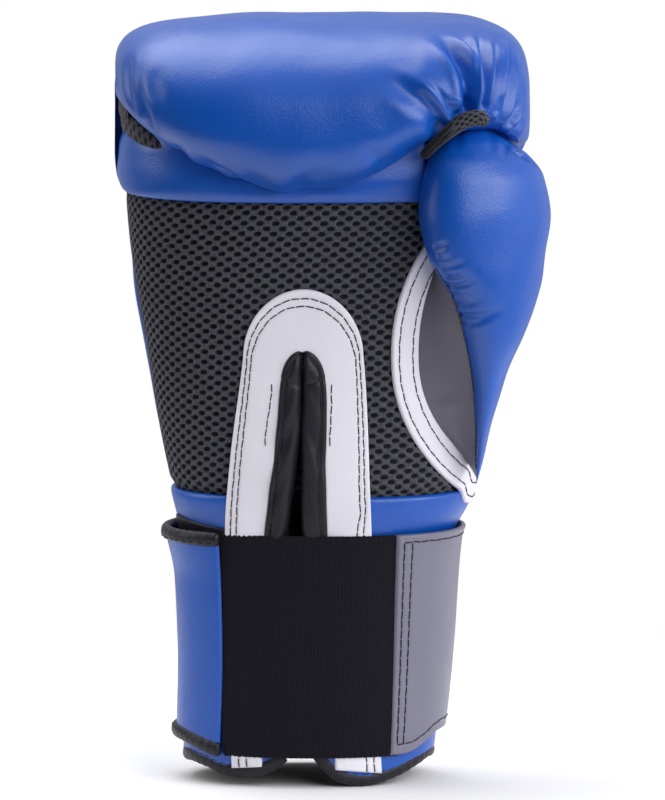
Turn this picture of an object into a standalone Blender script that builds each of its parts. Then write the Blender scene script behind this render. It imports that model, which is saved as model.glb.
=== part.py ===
"""Right-hand boxing glove with a hook-and-loop wrist strap, laid out as its separate pieces.

Frame: the glove stands on its cuff, +Z runs to the fingertips, the palm faces -Y and the thumb is on +X.
The origin is the bottom centre of the whole glove. Dimensions below are in millimetres; the meshes
are in metres.
"""
import math

import bpy
from mathutils import Vector

MM = 0.001
GAP = 0.3  # kept between pieces that touch
SEGMENTS = 30  # points round a ring of the hand and the cuff
THUMB_MESH = (18, 13)  # points round a ring of the thumb, and the spacing of its rings
THUMB_SPACE_MESH = (14, 12)
FINGER_SPACE_MESH = (24, 9)
PILLOW_MESH = (12, 20)  # rows across the finger compartment, and points round it
# heights at which those rings lie; walls run straight between them, so that layers stay parallel
LEVELS = (0.0, 25.0, 50.0, 92.0, 106.0, 128.0, 150.0, 188.0, 226.0)

# ---------------------------------------------------------------- driving dimensions
LEATHER = 1.5  # thickness of the outer panels
LINING = 1.0
TRIM = 1.0  # sewn-on trims
ROLLED = 1.7  # rolled edge bindings

CUFF_EDGE = 3.5  # height of the binding round the wrist opening
CUFF_TOP = 110.0  # seam between cuff and hand
KNUCKLE_LINE = 226.0  # level where the finger compartment folds
BAND_SEAM = 219.5  # lower seam of the palm band
PALM_SPLIT = 8.0  # y where the palm panels meet the back panel
THUMB_SEAM = -21.0  # y where they meet behind the thumb
FOAM_SPLIT = -2.0  # y where palm foam meets back foam

# height, centre x, half width, palm y, back y, squareness of the outer surface of hand and cuff
HAND = (
    (0.0, -10.0, 45.0, -32.5, 36.0, 2.2),
    (14.0, -8.8, 46.2, -33.0, 36.5, 2.2),
    (50.0, -6.8, 47.6, -34.0, 37.5, 2.2),
    (92.0, -6.0, 50.0, -34.5, 39.5, 2.2),
    (106.0, -4.0, 54.6, -36.5, 44.0, 2.3),
    (150.0, -6.0, 62.0, -39.0, 51.0, 2.4),
    (200.0, -9.0, 67.0, -41.0, 58.0, 2.5),
    (226.0, -8.0, 70.0, -41.0, 60.5, 2.6),
)
# the same for the space that the hand fills
HAND_SPACE = (
    (0.0, -9.5, 38.0, -25.5, 29.0, 2.2),
    (92.0, -6.0, 38.0, -23.5, 26.0, 2.2),
    (150.0, -8.0, 43.0, -26.0, 22.0, 2.4),
    (226.0, -8.0, 46.0, -27.0, 14.0, 2.5),
)
# the same for the thumb; its two ends are domes
THUMB = (
    (118.0, 48.0, 0.0, -26.0, -26.0, 2.0),
    (120.0, 48.0, 4.6, -30.5, -21.5, 2.0),
    (126.0, 48.5, 7.8, -34.0, -18.0, 2.0),
    (150.0, 52.0, 12.6, -41.5, -13.5, 2.0),
    (182.0, 56.0, 19.0, -51.0, -10.0, 2.0),
    (210.0, 57.0, 24.3, -56.0, -8.0, 2.1),
    (224.0, 56.2, 23.8, -55.5, -8.0, 2.1),
    (234.0, 56.0, 20.3, -52.5, -11.0, 2.1),
    (242.0, 56.0, 13.5, -45.5, -17.5, 2.0),
    (246.0, 56.0, 7.0, -38.5, -24.0, 2.0),
    (247.3, 56.0, 0.0, -31.0, -31.0, 2.0),
)
THUMB_SPACE = (
    (146.0, 53.0, 0.0, -25.0, -25.0, 2.0),
    (150.0, 53.0, 5.5, -31.0, -19.5, 2.0),
    (160.0, 54.0, 8.5, -36.5, -18.5, 2.0),
    (182.0, 56.0, 11.5, -42.0, -19.0, 2.0),
    (210.0, 57.0, 13.5, -44.5, -19.5, 2.0),
    (222.0, 56.5, 10.5, -42.0, -22.0, 2.0),
    (227.0, 56.5, 0.0, -32.0, -32.0, 2.0),
)
THUMB_TUNNEL = dict(start=18.0, end=54.0, y=-19.0, z=162.0, radius=8.5)

# finger compartment: a pillow across the hand with a lip over the palm
FIST_CENTRE = (-4.0, 0.0, 252.0)
FIST_HALF_WIDTH = 77.3
FIST_HALF_DEPTH = 61.8
FIST_UP = 38.6
FIST_DOWN = 33.5
LIP_CLEARANCE = 2.6  # between lip and palm, so that the fingers can curl
FINGER_SPACE = (
    (190.0, -6.0, 45.0, -26.5, 14.0, 2.5),
    (226.0, -6.0, 44.0, -26.0, 14.0, 2.5),
    (250.0, -6.0, 41.0, -24.0, 12.0, 2.4),
    (264.0, -6.0, 32.0, -18.0, 6.0, 2.3),
    (269.0, -6.0, 14.0, -10.0, -2.0, 2.2),
    (270.0, -6.0, 0.0, -6.0, -6.0, 2.2),
)
THUMB_BAY = dict(left=29.5, centre_y=-31.0, centre_z=224.5, radius=30.0)

STRAP_BOTTOM = 11.5
STRAP_TOP = 96.5
STRAP_INNER = 2.4  # strap faces, measured outwards from the cuff
STRAP_OUTER = 4.6
PIPING_HEIGHT = 3.0
STRAP_HINGE_X = -43.0  # seam between the strap's sewn-down base and its elastic
TAB_HINGE_X = 26.0  # seam between the elastic and the tab
BASE_END_X = -32.0  # where the base is sewn to the back of the cuff
TAB_END_X = -5.0  # free end of the tab, on the back of the cuff

SLIT_TOP = 160.0
SLIT_X = -13.5
SLIT_WIDTH = 5.0
ARC_CENTRE = (85.0, 160.0)  # x, z centre of the trim round the thumb web
ARC_INNER = 54.0
ARC_OUTER = 64.5


# ---------------------------------------------------------------- shapes
def at_height(stations, z):
    """Each value of the stations at height z, on a smooth curve through them."""
    heights = [row[0] for row in stations]
    z = min(max(z, heights[0]), heights[-1])
    index = max(i for i, height in enumerate(heights[:-1]) if height <= z)
    low, high = stations[index], stations[index + 1]
    span = high[0] - low[0]
    t = (z - low[0]) / span
    values = []
    for column in range(1, len(low)):
        slopes = []
        for i in (index, index + 1):
            before, after = stations[max(i - 1, 0)], stations[min(i + 1, len(stations) - 1)]
            left = (stations[i][column] - before[column]) / max(stations[i][0] - before[0], 1e-6)
            right = (after[column] - stations[i][column]) / max(after[0] - stations[i][0], 1e-6)
            slopes.append(0.0 if left * right <= 0 else 2 * left * right / (left + right))
        values.append(
            low[column] * (2 * t**3 - 3 * t**2 + 1)
            + high[column] * (3 * t**2 - 2 * t**3)
            + slopes[0] * span * (t**3 - 2 * t**2 + t)
            + slopes[1] * span * (t**3 - t**2)
        )
    return values


def powered(value, exponent):
    return math.copysign(abs(value) ** exponent, value)


def ring(stations, z, offset, count):
    """A rounded-box section at height z, grown outwards by offset."""
    centre, half, palm, back, square = at_height(stations, z)
    middle, depth = (palm + back) / 2, (back - palm) / 2
    points = []
    for step in range(count):
        angle = 2 * math.pi * step / count
        x = centre + max(half + offset, 0) * powered(math.cos(angle), 2 / square)
        y = middle + max(depth + offset, 0) * powered(math.sin(angle), 2 / square)
        points.append((x, y, z))
    return points


def wall_rings(stations, offset, low, high):
    """Rings of the hand or its space from low to high, at the shared levels and at both ends."""
    rings = []
    for z in [low] + [level for level in LEVELS if low < level < high] + [high]:
        below = max(level for level in LEVELS[:-1] if level <= z)
        above = LEVELS[LEVELS.index(below) + 1]
        share = (z - below) / (above - below)
        pair = zip(ring(stations, below, offset, SEGMENTS), ring(stations, above, offset, SEGMENTS))
        rings.append([tuple(a + (b - a) * share for a, b in zip(p, q)) for p, q in pair])
    return rings


def new_object(name, points, faces):
    mesh = bpy.data.meshes.new(name)
    mesh.from_pydata([Vector(p) * MM for p in points], [], faces)
    mesh.update()
    made = bpy.data.objects.new(name, mesh)
    bpy.context.scene.collection.objects.link(made)
    return made


def bridge(start_a, start_b, count):
    """Quads between two rings of points that start at those indices."""
    return [
        (start_a + i, start_a + (i + 1) % count, start_b + (i + 1) % count, start_b + i)
        for i in range(count)
    ]


def sleeve(name, outer, inner):
    """A wall between outer and inner rings, open at both ends."""
    count, levels = len(outer[0]), len(outer)
    points = [p for one in outer + inner for p in one]
    inside = levels * count
    faces = []
    for level in range(levels - 1):
        low, high = level * count, (level + 1) * count
        faces += bridge(low, high, count)
        faces += [tuple(reversed(f)) for f in bridge(inside + low, inside + high, count)]
    faces += [tuple(reversed(f)) for f in bridge(0, inside, count)]
    top = (levels - 1) * count
    faces += bridge(top, inside + top, count)
    return new_object(name, points, faces)


def domed(name, stations, offset, count, step):
    """A closed solid through stations whose two ends shrink to a point."""
    low, high = stations[0][0] - offset, stations[-1][0] + offset
    rows = []
    middle = (low + high) / 2
    reach = (high - low) / 2
    levels = max(8, round((high - low) / step))
    for i in range(1, levels):
        z = middle - reach * math.cos(math.pi * i / levels)
        inside = stations[0][0] + (z - low) / (high - low) * (stations[-1][0] - stations[0][0])
        rows.append([(x, y, z) for x, y, _ in ring(stations, inside, offset, count)])
    bottom, top = at_height(stations, stations[0][0]), at_height(stations, stations[-1][0])
    points = [p for row in rows for p in row]
    first, last = len(points), len(points) + 1
    points += [(bottom[0], bottom[2], low), (top[0], top[2], high)]
    faces = []
    for level in range(len(rows) - 1):
        faces += bridge(level * count, (level + 1) * count, count)
    end = (len(rows) - 1) * count
    for i in range(count):
        faces.append((first, (i + 1) % count, i))
        faces.append((last, end + i, end + (i + 1) % count))
    return new_object(name, points, faces)


def pillow(name, offset):
    """The finger compartment's form, grown outwards by offset."""
    across, round_it = PILLOW_MESH
    centre_x, centre_y, centre_z = FIST_CENTRE
    half_width, depth = FIST_HALF_WIDTH + offset, FIST_HALF_DEPTH + offset
    up, down = FIST_UP + offset, FIST_DOWN + offset
    rows = []
    for i in range(1, across):
        turn = math.pi * (i / across - 0.5)
        along = powered(math.sin(turn), 0.5)
        share_y = (1 - abs(along) ** 3) ** (1 / 3)
        share_up = (1 - abs(along) ** 4) ** (1 / 4)
        share_down = (1 - abs(along) ** 12) ** (1 / 12)
        row = []
        for k in range(round_it):
            angle = 2 * math.pi * k / round_it
            c, s = math.cos(angle), math.sin(angle)
            above, behind = s >= 0, c >= 0
            square = (2.6 if behind else 2.3) if above else (8.0 if behind else 4.0)
            y = centre_y + depth * share_y * powered(c, 2 / square)
            z = centre_z + (up * share_up if above else down * share_down) * powered(s, 2 / square)
            row.append((centre_x + half_width * along, y, z))
        rows.append(row)
    points = [p for row in rows for p in row]
    first, last = len(points), len(points) + 1
    points += [(centre_x - half_width, centre_y, centre_z), (centre_x + half_width, centre_y, centre_z)]
    faces = []
    for level in range(len(rows) - 1):
        faces += bridge(level * round_it, (level + 1) * round_it, round_it)
    end = (len(rows) - 1) * round_it
    for i in range(round_it):
        faces.append((first, (i + 1) % round_it, i))
        faces.append((last, end + i, end + (i + 1) % round_it))
    return new_object(name, points, faces)


def prism(name, outline, low, high, axis="y"):
    """An outline extruded between two values of y (outline in x, z), z (x, y) or x (y, z)."""
    places = {
        "x": lambda a, b, t: (t, a, b),
        "y": lambda a, b, t: (a, t, b),
        "z": lambda a, b, t: (a, b, t),
    }
    place = places[axis]
    count = len(outline)
    area = sum(
        outline[i][0] * outline[(i + 1) % count][1] - outline[(i + 1) % count][0] * outline[i][1]
        for i in range(count)
    )
    if (area > 0) == (axis == "y"):
        outline = outline[::-1]
    points = [place(a, b, low) for a, b in outline] + [place(a, b, high) for a, b in outline]
    faces = [tuple(reversed(range(count))), tuple(range(count, 2 * count))]
    faces += bridge(0, count, count)
    return new_object(name, points, faces)


def block(name, low, high):
    corners = [(low[0], low[1]), (high[0], low[1]), (high[0], high[1]), (low[0], high[1])]
    return prism(name, corners, low[2], high[2], axis="z")


def arc(centre, radius, start, end, steps):
    """Points on a circle between two angles in degrees."""
    return [
        (
            centre[0] + radius * math.cos(math.radians(start + (end - start) * i / steps)),
            centre[1] + radius * math.sin(math.radians(start + (end - start) * i / steps)),
        )
        for i in range(steps + 1)
    ]


def tube_along(name, route, radius, sides=12):
    """A round bar along a list of points, with a smooth bend at each."""
    curve = bpy.data.curves.new(name, "CURVE")
    curve.dimensions = "3D"
    curve.bevel_depth = radius * MM
    curve.bevel_resolution = sides // 4 - 1
    curve.use_fill_caps = True
    curve.resolution_u = 4
    line = curve.splines.new("NURBS")
    line.points.add(len(route) - 1)
    for point, place in zip(line.points, route):
        point.co = (*(Vector(place) * MM), 1)
    line.order_u = 3
    line.use_endpoint_u = True
    made = bpy.data.objects.new(name, curve)
    bpy.context.scene.collection.objects.link(made)
    return made


# ---------------------------------------------------------------- cutting
def as_cutter(made):
    made.hide_render = True
    made.display_type = "WIRE"
    return made


def combine(made, cutter, operation):
    step = made.modifiers.new(f"{operation.lower()} {cutter.name}"[:60], "BOOLEAN")
    step.operation = operation
    step.object = cutter
    return made


def minus(made, *cutters):
    for cutter in cutters:
        combine(made, cutter, "DIFFERENCE")
    return made


def within(made, *cutters):
    for cutter in cutters:
        combine(made, cutter, "INTERSECT")
    return made


def shell(name, outside, inside, low, high, inner_stations=HAND):
    """A wall round the hand: outer face at offset outside, inner face at offset inside."""
    return sleeve(name, wall_rings(HAND, outside, low, high), wall_rings(inner_stations, inside, low, high))


def lining(name, outside, inside, low, high):
    """A wall round the space that the hand fills."""
    outer = wall_rings(HAND_SPACE, outside, low, high)
    inner = wall_rings(HAND_SPACE, inside, low, high)
    return sleeve(name, outer, inner)


# ---------------------------------------------------------------- materials
def material(name, colour, roughness, metallic=0.0):
    made = bpy.data.materials.new(name)
    made.use_nodes = True
    shader = made.node_tree.nodes["Principled BSDF"]
    shader.inputs["Base Color"].default_value = (*colour, 1)
    shader.inputs["Roughness"].default_value = roughness
    shader.inputs["Metallic"].default_value = metallic
    made.diffuse_color = (*colour, 1)
    return made


def paint(made, finish):
    made.data.materials.clear()
    made.data.materials.append(finish)
    return made


def make_materials():
    return {
        "blue": material("blue_leather", (0.0, 0.07, 0.42), 0.45),
        "grey": material("grey_leather", (0.13, 0.13, 0.17), 0.5),
        "white": material("white_leather", (0.78, 0.76, 0.82), 0.5),
        "black": material("black_binding", (0.02, 0.018, 0.028), 0.7),
        "mesh": material("dark_mesh_fabric", (0.05, 0.05, 0.065), 0.8),
        "elastic": material("black_elastic", (0.02, 0.018, 0.025), 0.85),
        "lining": material("black_lining", (0.02, 0.02, 0.022), 0.9),
        "foam": material("grey_foam", (0.35, 0.35, 0.36), 0.95),
        "hook": material("hook_and_loop", (0.03, 0.03, 0.035), 0.95),
    }


# ---------------------------------------------------------------- shared cutters
def make_cutters():
    bottom, top = -5.0, KNUCKLE_LINE + 5
    cutters = {}
    half = SLIT_WIDTH / 2
    slit = [(SLIT_X - half, bottom), (SLIT_X + half, bottom), (SLIT_X + half, SLIT_TOP - 6)]
    slit += arc((SLIT_X, SLIT_TOP - 6), half, 30, 150, 4) + [(SLIT_X - half, SLIT_TOP - 6)]
    cutters["slit"] = prism("slit_cutter", slit, -60, -6)
    cutters["thumb_nest"] = domed("thumb_nest_cutter", THUMB, 0.5, *THUMB_MESH)
    tunnel = arc((THUMB_TUNNEL["y"], THUMB_TUNNEL["z"]), THUMB_TUNNEL["radius"], 0, 330, 11)
    start, end = THUMB_TUNNEL["start"], THUMB_TUNNEL["end"]
    cutters["tunnel"] = prism("thumb_tunnel_cutter", tunnel, start, end, "x")
    # everything on the palm side of the side seams; the seam on the thumb side runs behind the thumb
    palm = [(-120, -120), (120, -120), (120, THUMB_SEAM)]
    palm += [(40, THUMB_SEAM), (40, PALM_SPLIT), (-120, PALM_SPLIT)]
    cutters["palm_side"] = prism("palm_side_cutter", palm, bottom, top, "z")
    back = [(120, 120), (-120, 120), (-120, PALM_SPLIT + GAP), (40 + GAP, PALM_SPLIT + GAP)]
    back += [(40 + GAP, THUMB_SEAM + GAP), (120, THUMB_SEAM + GAP)]
    cutters["back_side"] = prism("back_side_cutter", back, bottom, top, "z")
    # the room for palm and back below the knuckle line; the lip stays in front of it
    palm_face = HAND[-1][3]
    floor_low = (-120, palm_face - LIP_CLEARANCE, 150)
    floor_high = (120, 120, KNUCKLE_LINE + GAP / 2)
    cutters["fist_floor"] = block("fist_floor_cutter", floor_low, floor_high)
    bay_centre = (THUMB_BAY["centre_y"], THUMB_BAY["centre_z"])
    bay = arc(bay_centre, THUMB_BAY["radius"], 0, 90, 8)
    bay += [(-120, bay[-1][1]), (-120, 150), (bay[0][0], 150)]
    cutters["thumb_bay"] = prism("thumb_bay_cutter", bay, THUMB_BAY["left"], 120, "x")
    for cutter in cutters.values():
        as_cutter(cutter)
    return cutters


# ---------------------------------------------------------------- hand body
def make_hand(finish, cutters):
    hand_low, hand_high = CUFF_TOP + GAP, KNUCKLE_LINE - GAP / 2
    nest, tunnel, slit = cutters["thumb_nest"], cutters["tunnel"], cutters["slit"]
    palm_side, back_side = cutters["palm_side"], cutters["back_side"]

    back = within(shell("back_shell", 0, -LEATHER, hand_low, hand_high), back_side)
    paint(minus(back, nest), finish["blue"])

    # the palm panels meet half way under the arc trim
    seam = (ARC_INNER + ARC_OUTER) / 2
    left_of_arc = [(-120, 90), (-120, BAND_SEAM - GAP)]
    left_of_arc += [(34, BAND_SEAM - GAP)] + arc(ARC_CENTRE, seam + GAP, 140, 250, 14) + [(66, 90)]
    mesh_region = as_cutter(prism("mesh_region", left_of_arc, -80, 40))
    mesh = shell("palm_mesh_panel", 0, -LEATHER, hand_low, hand_high)
    within(mesh, palm_side, mesh_region)
    paint(minus(mesh, nest, slit), finish["mesh"])

    web_region = as_cutter(prism("web_region", arc(ARC_CENTRE, seam, 90, 270, 20), -80, 40))
    web = within(shell("thumb_web_panel", 0, -LEATHER, hand_low, hand_high), palm_side, web_region)
    below_band = as_cutter(block("web_top", (-120, -80, 60), (120, 60, 203)))
    paint(minus(within(web, below_band), nest, tunnel), finish["grey"])

    band = within(shell("palm_band", 0, -LEATHER, BAND_SEAM, hand_high), palm_side)
    paint(minus(band, nest), finish["blue"])

    ring_outline = arc(ARC_CENTRE, ARC_OUTER, 134, 237, 16) + arc(ARC_CENTRE, ARC_INNER, 233, 138, 14)
    ring_region = as_cutter(prism("arc_region", ring_outline, -80, -12))
    trim = within(shell("thumb_arc_trim", GAP + TRIM, GAP, 95, 212), ring_region)
    paint(minus(trim, nest), finish["white"])

    back_foam = shell("back_foam", -LEATHER - GAP, LINING + GAP, hand_low, hand_high, HAND_SPACE)
    behind = as_cutter(block("foam_back_half", (-120, FOAM_SPLIT + GAP / 2, 60), (120, 120, 260)))
    paint(minus(within(back_foam, behind), nest, tunnel), finish["foam"])

    palm_foam = shell("palm_foam", -LEATHER - GAP, LINING + GAP, hand_low, hand_high, HAND_SPACE)
    before = as_cutter(block("foam_palm_half", (-120, -120, 60), (120, FOAM_SPLIT - GAP / 2, 260)))
    paint(minus(within(palm_foam, before), nest, tunnel, slit), finish["foam"])

    paint(minus(lining("hand_lining", LINING, 0, hand_low, hand_high), tunnel, slit), finish["lining"])

    palm_wall = at_height(HAND_SPACE, 198)[2]
    bar_y = palm_wall + 11
    route = [(-29, bar_y, 197), (-16, bar_y, 198.5), (0, bar_y, 198.5), (13, bar_y, 197)]
    paint(tube_along("grip_bar", route, 8.5), finish["lining"])


def make_cuff(finish, cutters):
    slit = cutters["slit"]
    low, high = CUFF_EDGE + GAP, CUFF_TOP
    paint(minus(shell("cuff_shell", 0, -LEATHER, low, high), slit), finish["blue"])
    foam = shell("cuff_foam", -LEATHER - GAP, LINING + GAP, low, high, HAND_SPACE)
    paint(minus(foam, slit), finish["foam"])
    paint(minus(lining("cuff_lining", LINING, 0, low, high), slit), finish["lining"])
    binding = shell("cuff_binding", 1.2, -0.8, 0, CUFF_EDGE, HAND_SPACE)
    paint(minus(binding, slit), finish["black"])

    # stretch gusset behind the slit, inside the lining
    behind_slit = as_cutter(block("gusset_region", (SLIT_X - 14, -60, -5), (SLIT_X + 14, -8, 180)))
    gusset = lining("slit_gusset", -1.1, -1.9, CUFF_EDGE + 4, SLIT_TOP + 8)
    paint(within(gusset, behind_slit), finish["elastic"])

    # inverted U of white leather round the slit; its inner edge lies against the rolled bindings
    low, crown = 7.0, 186.4
    arch = [(-36.5, low), (-36.5, 96), (-34.5, 145), (-33.5, 164)]
    arch += arc((-13.5, 166), 20.4, 176, 90, 7) + arc((-8.5, 166), 20.4, 88, 3, 7)
    arch += [(12.9, 140), (14.2, 96), (16.5, low), (-2.0, low), (-2.2, 96), (-2.6, 152)]
    arch += arc((-11, 156), 8.2, 12, 168, 8) + [(-19.6, 152), (-24.4, 96), (-25.5, low)]
    arch_region = as_cutter(prism("arch_region", arch, -80, -6))
    trim = within(shell("wrist_trim", GAP + TRIM, GAP, low + 0.5, crown), arch_region)
    paint(trim, finish["white"])

    # one rolled binding on each side of the slit, meeting in a point at its top
    half = SLIT_WIDTH / 2
    left = [(-25.1, low), (-24.1, 96), (-19.3, 151), (-13.2, SLIT_TOP - 2), (SLIT_X - half, SLIT_TOP - 8)]
    left += [(SLIT_X - half, low)]
    right = [(-2.4, low), (-2.6, 96), (-3.0, 150), (-12.8, SLIT_TOP - 2), (SLIT_X + half, SLIT_TOP - 8)]
    right += [(SLIT_X + half, low)]
    for side, outline in (("left", left), ("right", right)):
        region = as_cutter(prism(f"slit_{side}_region", outline, -80, -6))
        piece = shell(f"slit_binding_{side}", GAP + ROLLED, GAP, low + 0.5, SLIT_TOP)
        paint(within(piece, region), finish["black"])


# ---------------------------------------------------------------- wrist strap
def make_strap(finish):
    front, back = -80.0, 80.0
    base = [(STRAP_HINGE_X - GAP / 2, front), (STRAP_HINGE_X - GAP / 2, -5)]
    base += [(BASE_END_X, 5), (BASE_END_X, back), (-120, back), (-120, front)]
    base_region = as_cutter(prism("strap_base_region", base, -5, 120, "z"))
    low, high = STRAP_BOTTOM + PIPING_HEIGHT + GAP, STRAP_TOP - PIPING_HEIGHT - GAP
    paint(within(shell("strap_base", STRAP_OUTER, STRAP_INNER, low, high), base_region), finish["blue"])
    edges = (("strap_piping_top", high + GAP, STRAP_TOP), ("strap_piping_bottom", STRAP_BOTTOM, low - GAP))
    for name, bottom, top in edges:
        piping = shell(name, STRAP_OUTER + 0.4, STRAP_INNER - 0.2, bottom, top)
        paint(within(piping, base_region), finish["black"])

    elastic_low, elastic_high = (STRAP_HINGE_X + GAP / 2, front, -5), (TAB_HINGE_X - GAP / 2, -5, 120)
    elastic_region = as_cutter(block("elastic_region", elastic_low, elastic_high))
    elastic = shell("elastic_band", STRAP_OUTER - 0.3, STRAP_INNER, STRAP_BOTTOM, STRAP_TOP)
    paint(within(elastic, elastic_region), finish["elastic"])

    tab = [(TAB_HINGE_X + GAP / 2, front), (120, front), (120, back), (TAB_END_X, back), (TAB_END_X, 5)]
    tab += [(TAB_HINGE_X + GAP / 2, -5)]
    tab_region = as_cutter(prism("tab_region", tab, -5, 120, "z"))
    wrap = shell("strap_tab", STRAP_OUTER, STRAP_INNER, STRAP_BOTTOM + 1, STRAP_TOP)
    paint(within(wrap, tab_region), finish["grey"])

    patch_low, patch_high = STRAP_BOTTOM + 12, STRAP_TOP - 12
    hook_region = as_cutter(block("hook_region", (TAB_END_X + 2, 5, -5), (TAB_HINGE_X - 2, back, 120)))
    hook = shell("hook_patch", STRAP_INNER - GAP, STRAP_INNER - GAP - 0.8, patch_low, patch_high)
    paint(within(hook, hook_region), finish["hook"])
    loop_region = as_cutter(block("loop_region", (BASE_END_X + 2, 5, -5), (TAB_HINGE_X + 2, back, 120)))
    loop = shell("loop_patch", GAP + 0.7, GAP, patch_low - 4, patch_high + 4)
    paint(within(loop, loop_region), finish["hook"])


# ---------------------------------------------------------------- finger compartment
def make_fist(finish, cutters):
    floor, bay = cutters["fist_floor"], cutters["thumb_bay"]
    skin_inside = as_cutter(pillow("fist_skin_inside", -LEATHER))
    gusset = [(-95, 248), (-95, 257), (-76.9, 254.6), (-68.3, 247.5), (-62.5, 239.5), (-72, 241.5)]
    gusset_region = as_cutter(prism("side_gusset_region", gusset, -80, -4))
    gusset_seam = [(-96, 247.6), (-96, 257.4), (-76.7, 255.0), (-68.0, 247.8), (-61.8, 239.2), (-72, 241.1)]
    gusset_opening = as_cutter(prism("side_gusset_opening", gusset_seam, -80, -4 + GAP))

    fist = minus(pillow("fist_shell", 0), skin_inside, floor, bay, gusset_opening)
    paint(fist, finish["blue"])
    side = within(minus(pillow("side_mesh_gusset", 0), skin_inside, floor), gusset_region)
    paint(side, finish["mesh"])

    pad_low, pad_high = (-62, 6, 238), (54, 80, 300)
    pad_inside = as_cutter(pillow("knuckle_pad_inside", -8))
    pad_region = as_cutter(block("knuckle_pad_region", pad_low, pad_high))
    pad = within(minus(pillow("knuckle_pad", -LEATHER - GAP), pad_inside), pad_region)
    paint(pad, finish["foam"])
    pocket_low = [value - GAP for value in pad_low]
    pocket_high = [value + GAP for value in pad_high]
    pad_pocket = block("knuckle_pad_pocket", pocket_low, pocket_high)
    minus(pad_pocket, as_cutter(pillow("knuckle_pad_bed", -8 - GAP)))

    pocket = as_cutter(domed("finger_pocket_cutter", FINGER_SPACE, LINING + GAP, *FINGER_SPACE_MESH))
    foam = minus(pillow("fist_foam", -LEATHER - GAP), floor, bay, as_cutter(pad_pocket), pocket)
    paint(foam, finish["foam"])

    space = as_cutter(domed("finger_lining_inside", FINGER_SPACE, 0, *FINGER_SPACE_MESH))
    inner = minus(domed("finger_lining", FINGER_SPACE, LINING, *FINGER_SPACE_MESH), space, floor)
    paint(inner, finish["lining"])


# ---------------------------------------------------------------- thumb
def make_thumb(finish, cutters):
    tunnel = cutters["tunnel"]
    inside = as_cutter(domed("thumb_skin_inside", THUMB, -LEATHER, *THUMB_MESH))
    paint(minus(domed("thumb_shell", THUMB, 0, *THUMB_MESH), inside, tunnel), finish["blue"])
    pocket = as_cutter(domed("thumb_pocket_cutter", THUMB_SPACE, LINING + GAP, *THUMB_SPACE_MESH))
    foam = minus(domed("thumb_foam", THUMB, -LEATHER - GAP, *THUMB_MESH), pocket, tunnel)
    paint(foam, finish["foam"])
    space = as_cutter(domed("thumb_lining_inside", THUMB_SPACE, 0, *THUMB_SPACE_MESH))
    inner = minus(domed("thumb_lining", THUMB_SPACE, LINING, *THUMB_SPACE_MESH), space, tunnel)
    paint(inner, finish["lining"])
    route = [(33.5, -47, 234), (35.5, -53, 240), (41, -55, 245.5), (48, -51, 248.2), (56, -46, 249.0)]
    paint(tube_along("thumb_lock_strap", route, 2.2), finish["mesh"])


def shade(made):
    if made.type == "MESH":
        made.data.shade_smooth()
        made.data.set_sharp_from_angle(angle=math.radians(40))


def main():
    for existing in list(bpy.data.objects):
        bpy.data.objects.remove(existing, do_unlink=True)
    finish = make_materials()
    cutters = make_cutters()
    make_hand(finish, cutters)
    make_cuff(finish, cutters)
    make_strap(finish)
    make_fist(finish, cutters)
    make_thumb(finish, cutters)
    for made in bpy.context.scene.objects:
        shade(made)


main()
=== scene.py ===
"""The visual model of the boxing glove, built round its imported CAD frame.

Lengths are in millimetres until a mesh is made. The palm faces -Y, the thumb is on +X and the fingers point
to +Z. A place on the wall of the hand is an angle round it (0 in the middle of the palm, +90 degrees on the
thumb side) with a height, or an x on the palm with a height.
"""
import math

import bmesh
import bpy
import numpy as np
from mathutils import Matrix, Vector


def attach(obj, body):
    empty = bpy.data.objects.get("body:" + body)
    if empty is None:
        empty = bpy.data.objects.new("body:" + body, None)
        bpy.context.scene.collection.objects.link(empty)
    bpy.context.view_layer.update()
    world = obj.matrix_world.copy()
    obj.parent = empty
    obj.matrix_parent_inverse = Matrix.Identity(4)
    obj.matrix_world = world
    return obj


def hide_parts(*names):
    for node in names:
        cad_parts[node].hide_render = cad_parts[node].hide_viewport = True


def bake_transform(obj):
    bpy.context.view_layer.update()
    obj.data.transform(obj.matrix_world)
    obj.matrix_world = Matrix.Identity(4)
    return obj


MM = 0.001
QUARTER = math.pi / 2

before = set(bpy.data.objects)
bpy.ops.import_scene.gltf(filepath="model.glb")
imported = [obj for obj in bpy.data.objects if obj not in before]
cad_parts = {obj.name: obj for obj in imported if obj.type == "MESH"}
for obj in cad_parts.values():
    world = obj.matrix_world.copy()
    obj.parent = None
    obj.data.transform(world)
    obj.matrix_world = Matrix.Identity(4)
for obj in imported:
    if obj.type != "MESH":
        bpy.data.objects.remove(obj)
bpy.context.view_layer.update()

# ------------------------------------------------------------------ driving dimensions
# height, centre x, half width, palm y, back y, squareness
HAND = (
    (0, -10, 45, -32.5, 36, 2.2),
    (14, -8.8, 46.2, -33, 36.5, 2.2),
    (50, -6.8, 47.6, -34, 37.5, 2.2),
    (92, -6, 50.4, -34.5, 39.5, 2.2),
    (106, -4.2, 55.2, -36.5, 44, 2.3),
    (150, -6, 62.4, -39, 51, 2.4),
    (200, -9, 67.2, -41, 58, 2.5),
    (226, -8, 70, -41, 60.5, 2.6),
    (240, -8.2, 70.6, -41, 61, 2.6),
    (262, -8.2, 71.2, -41, 61, 2.6),
)
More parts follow.
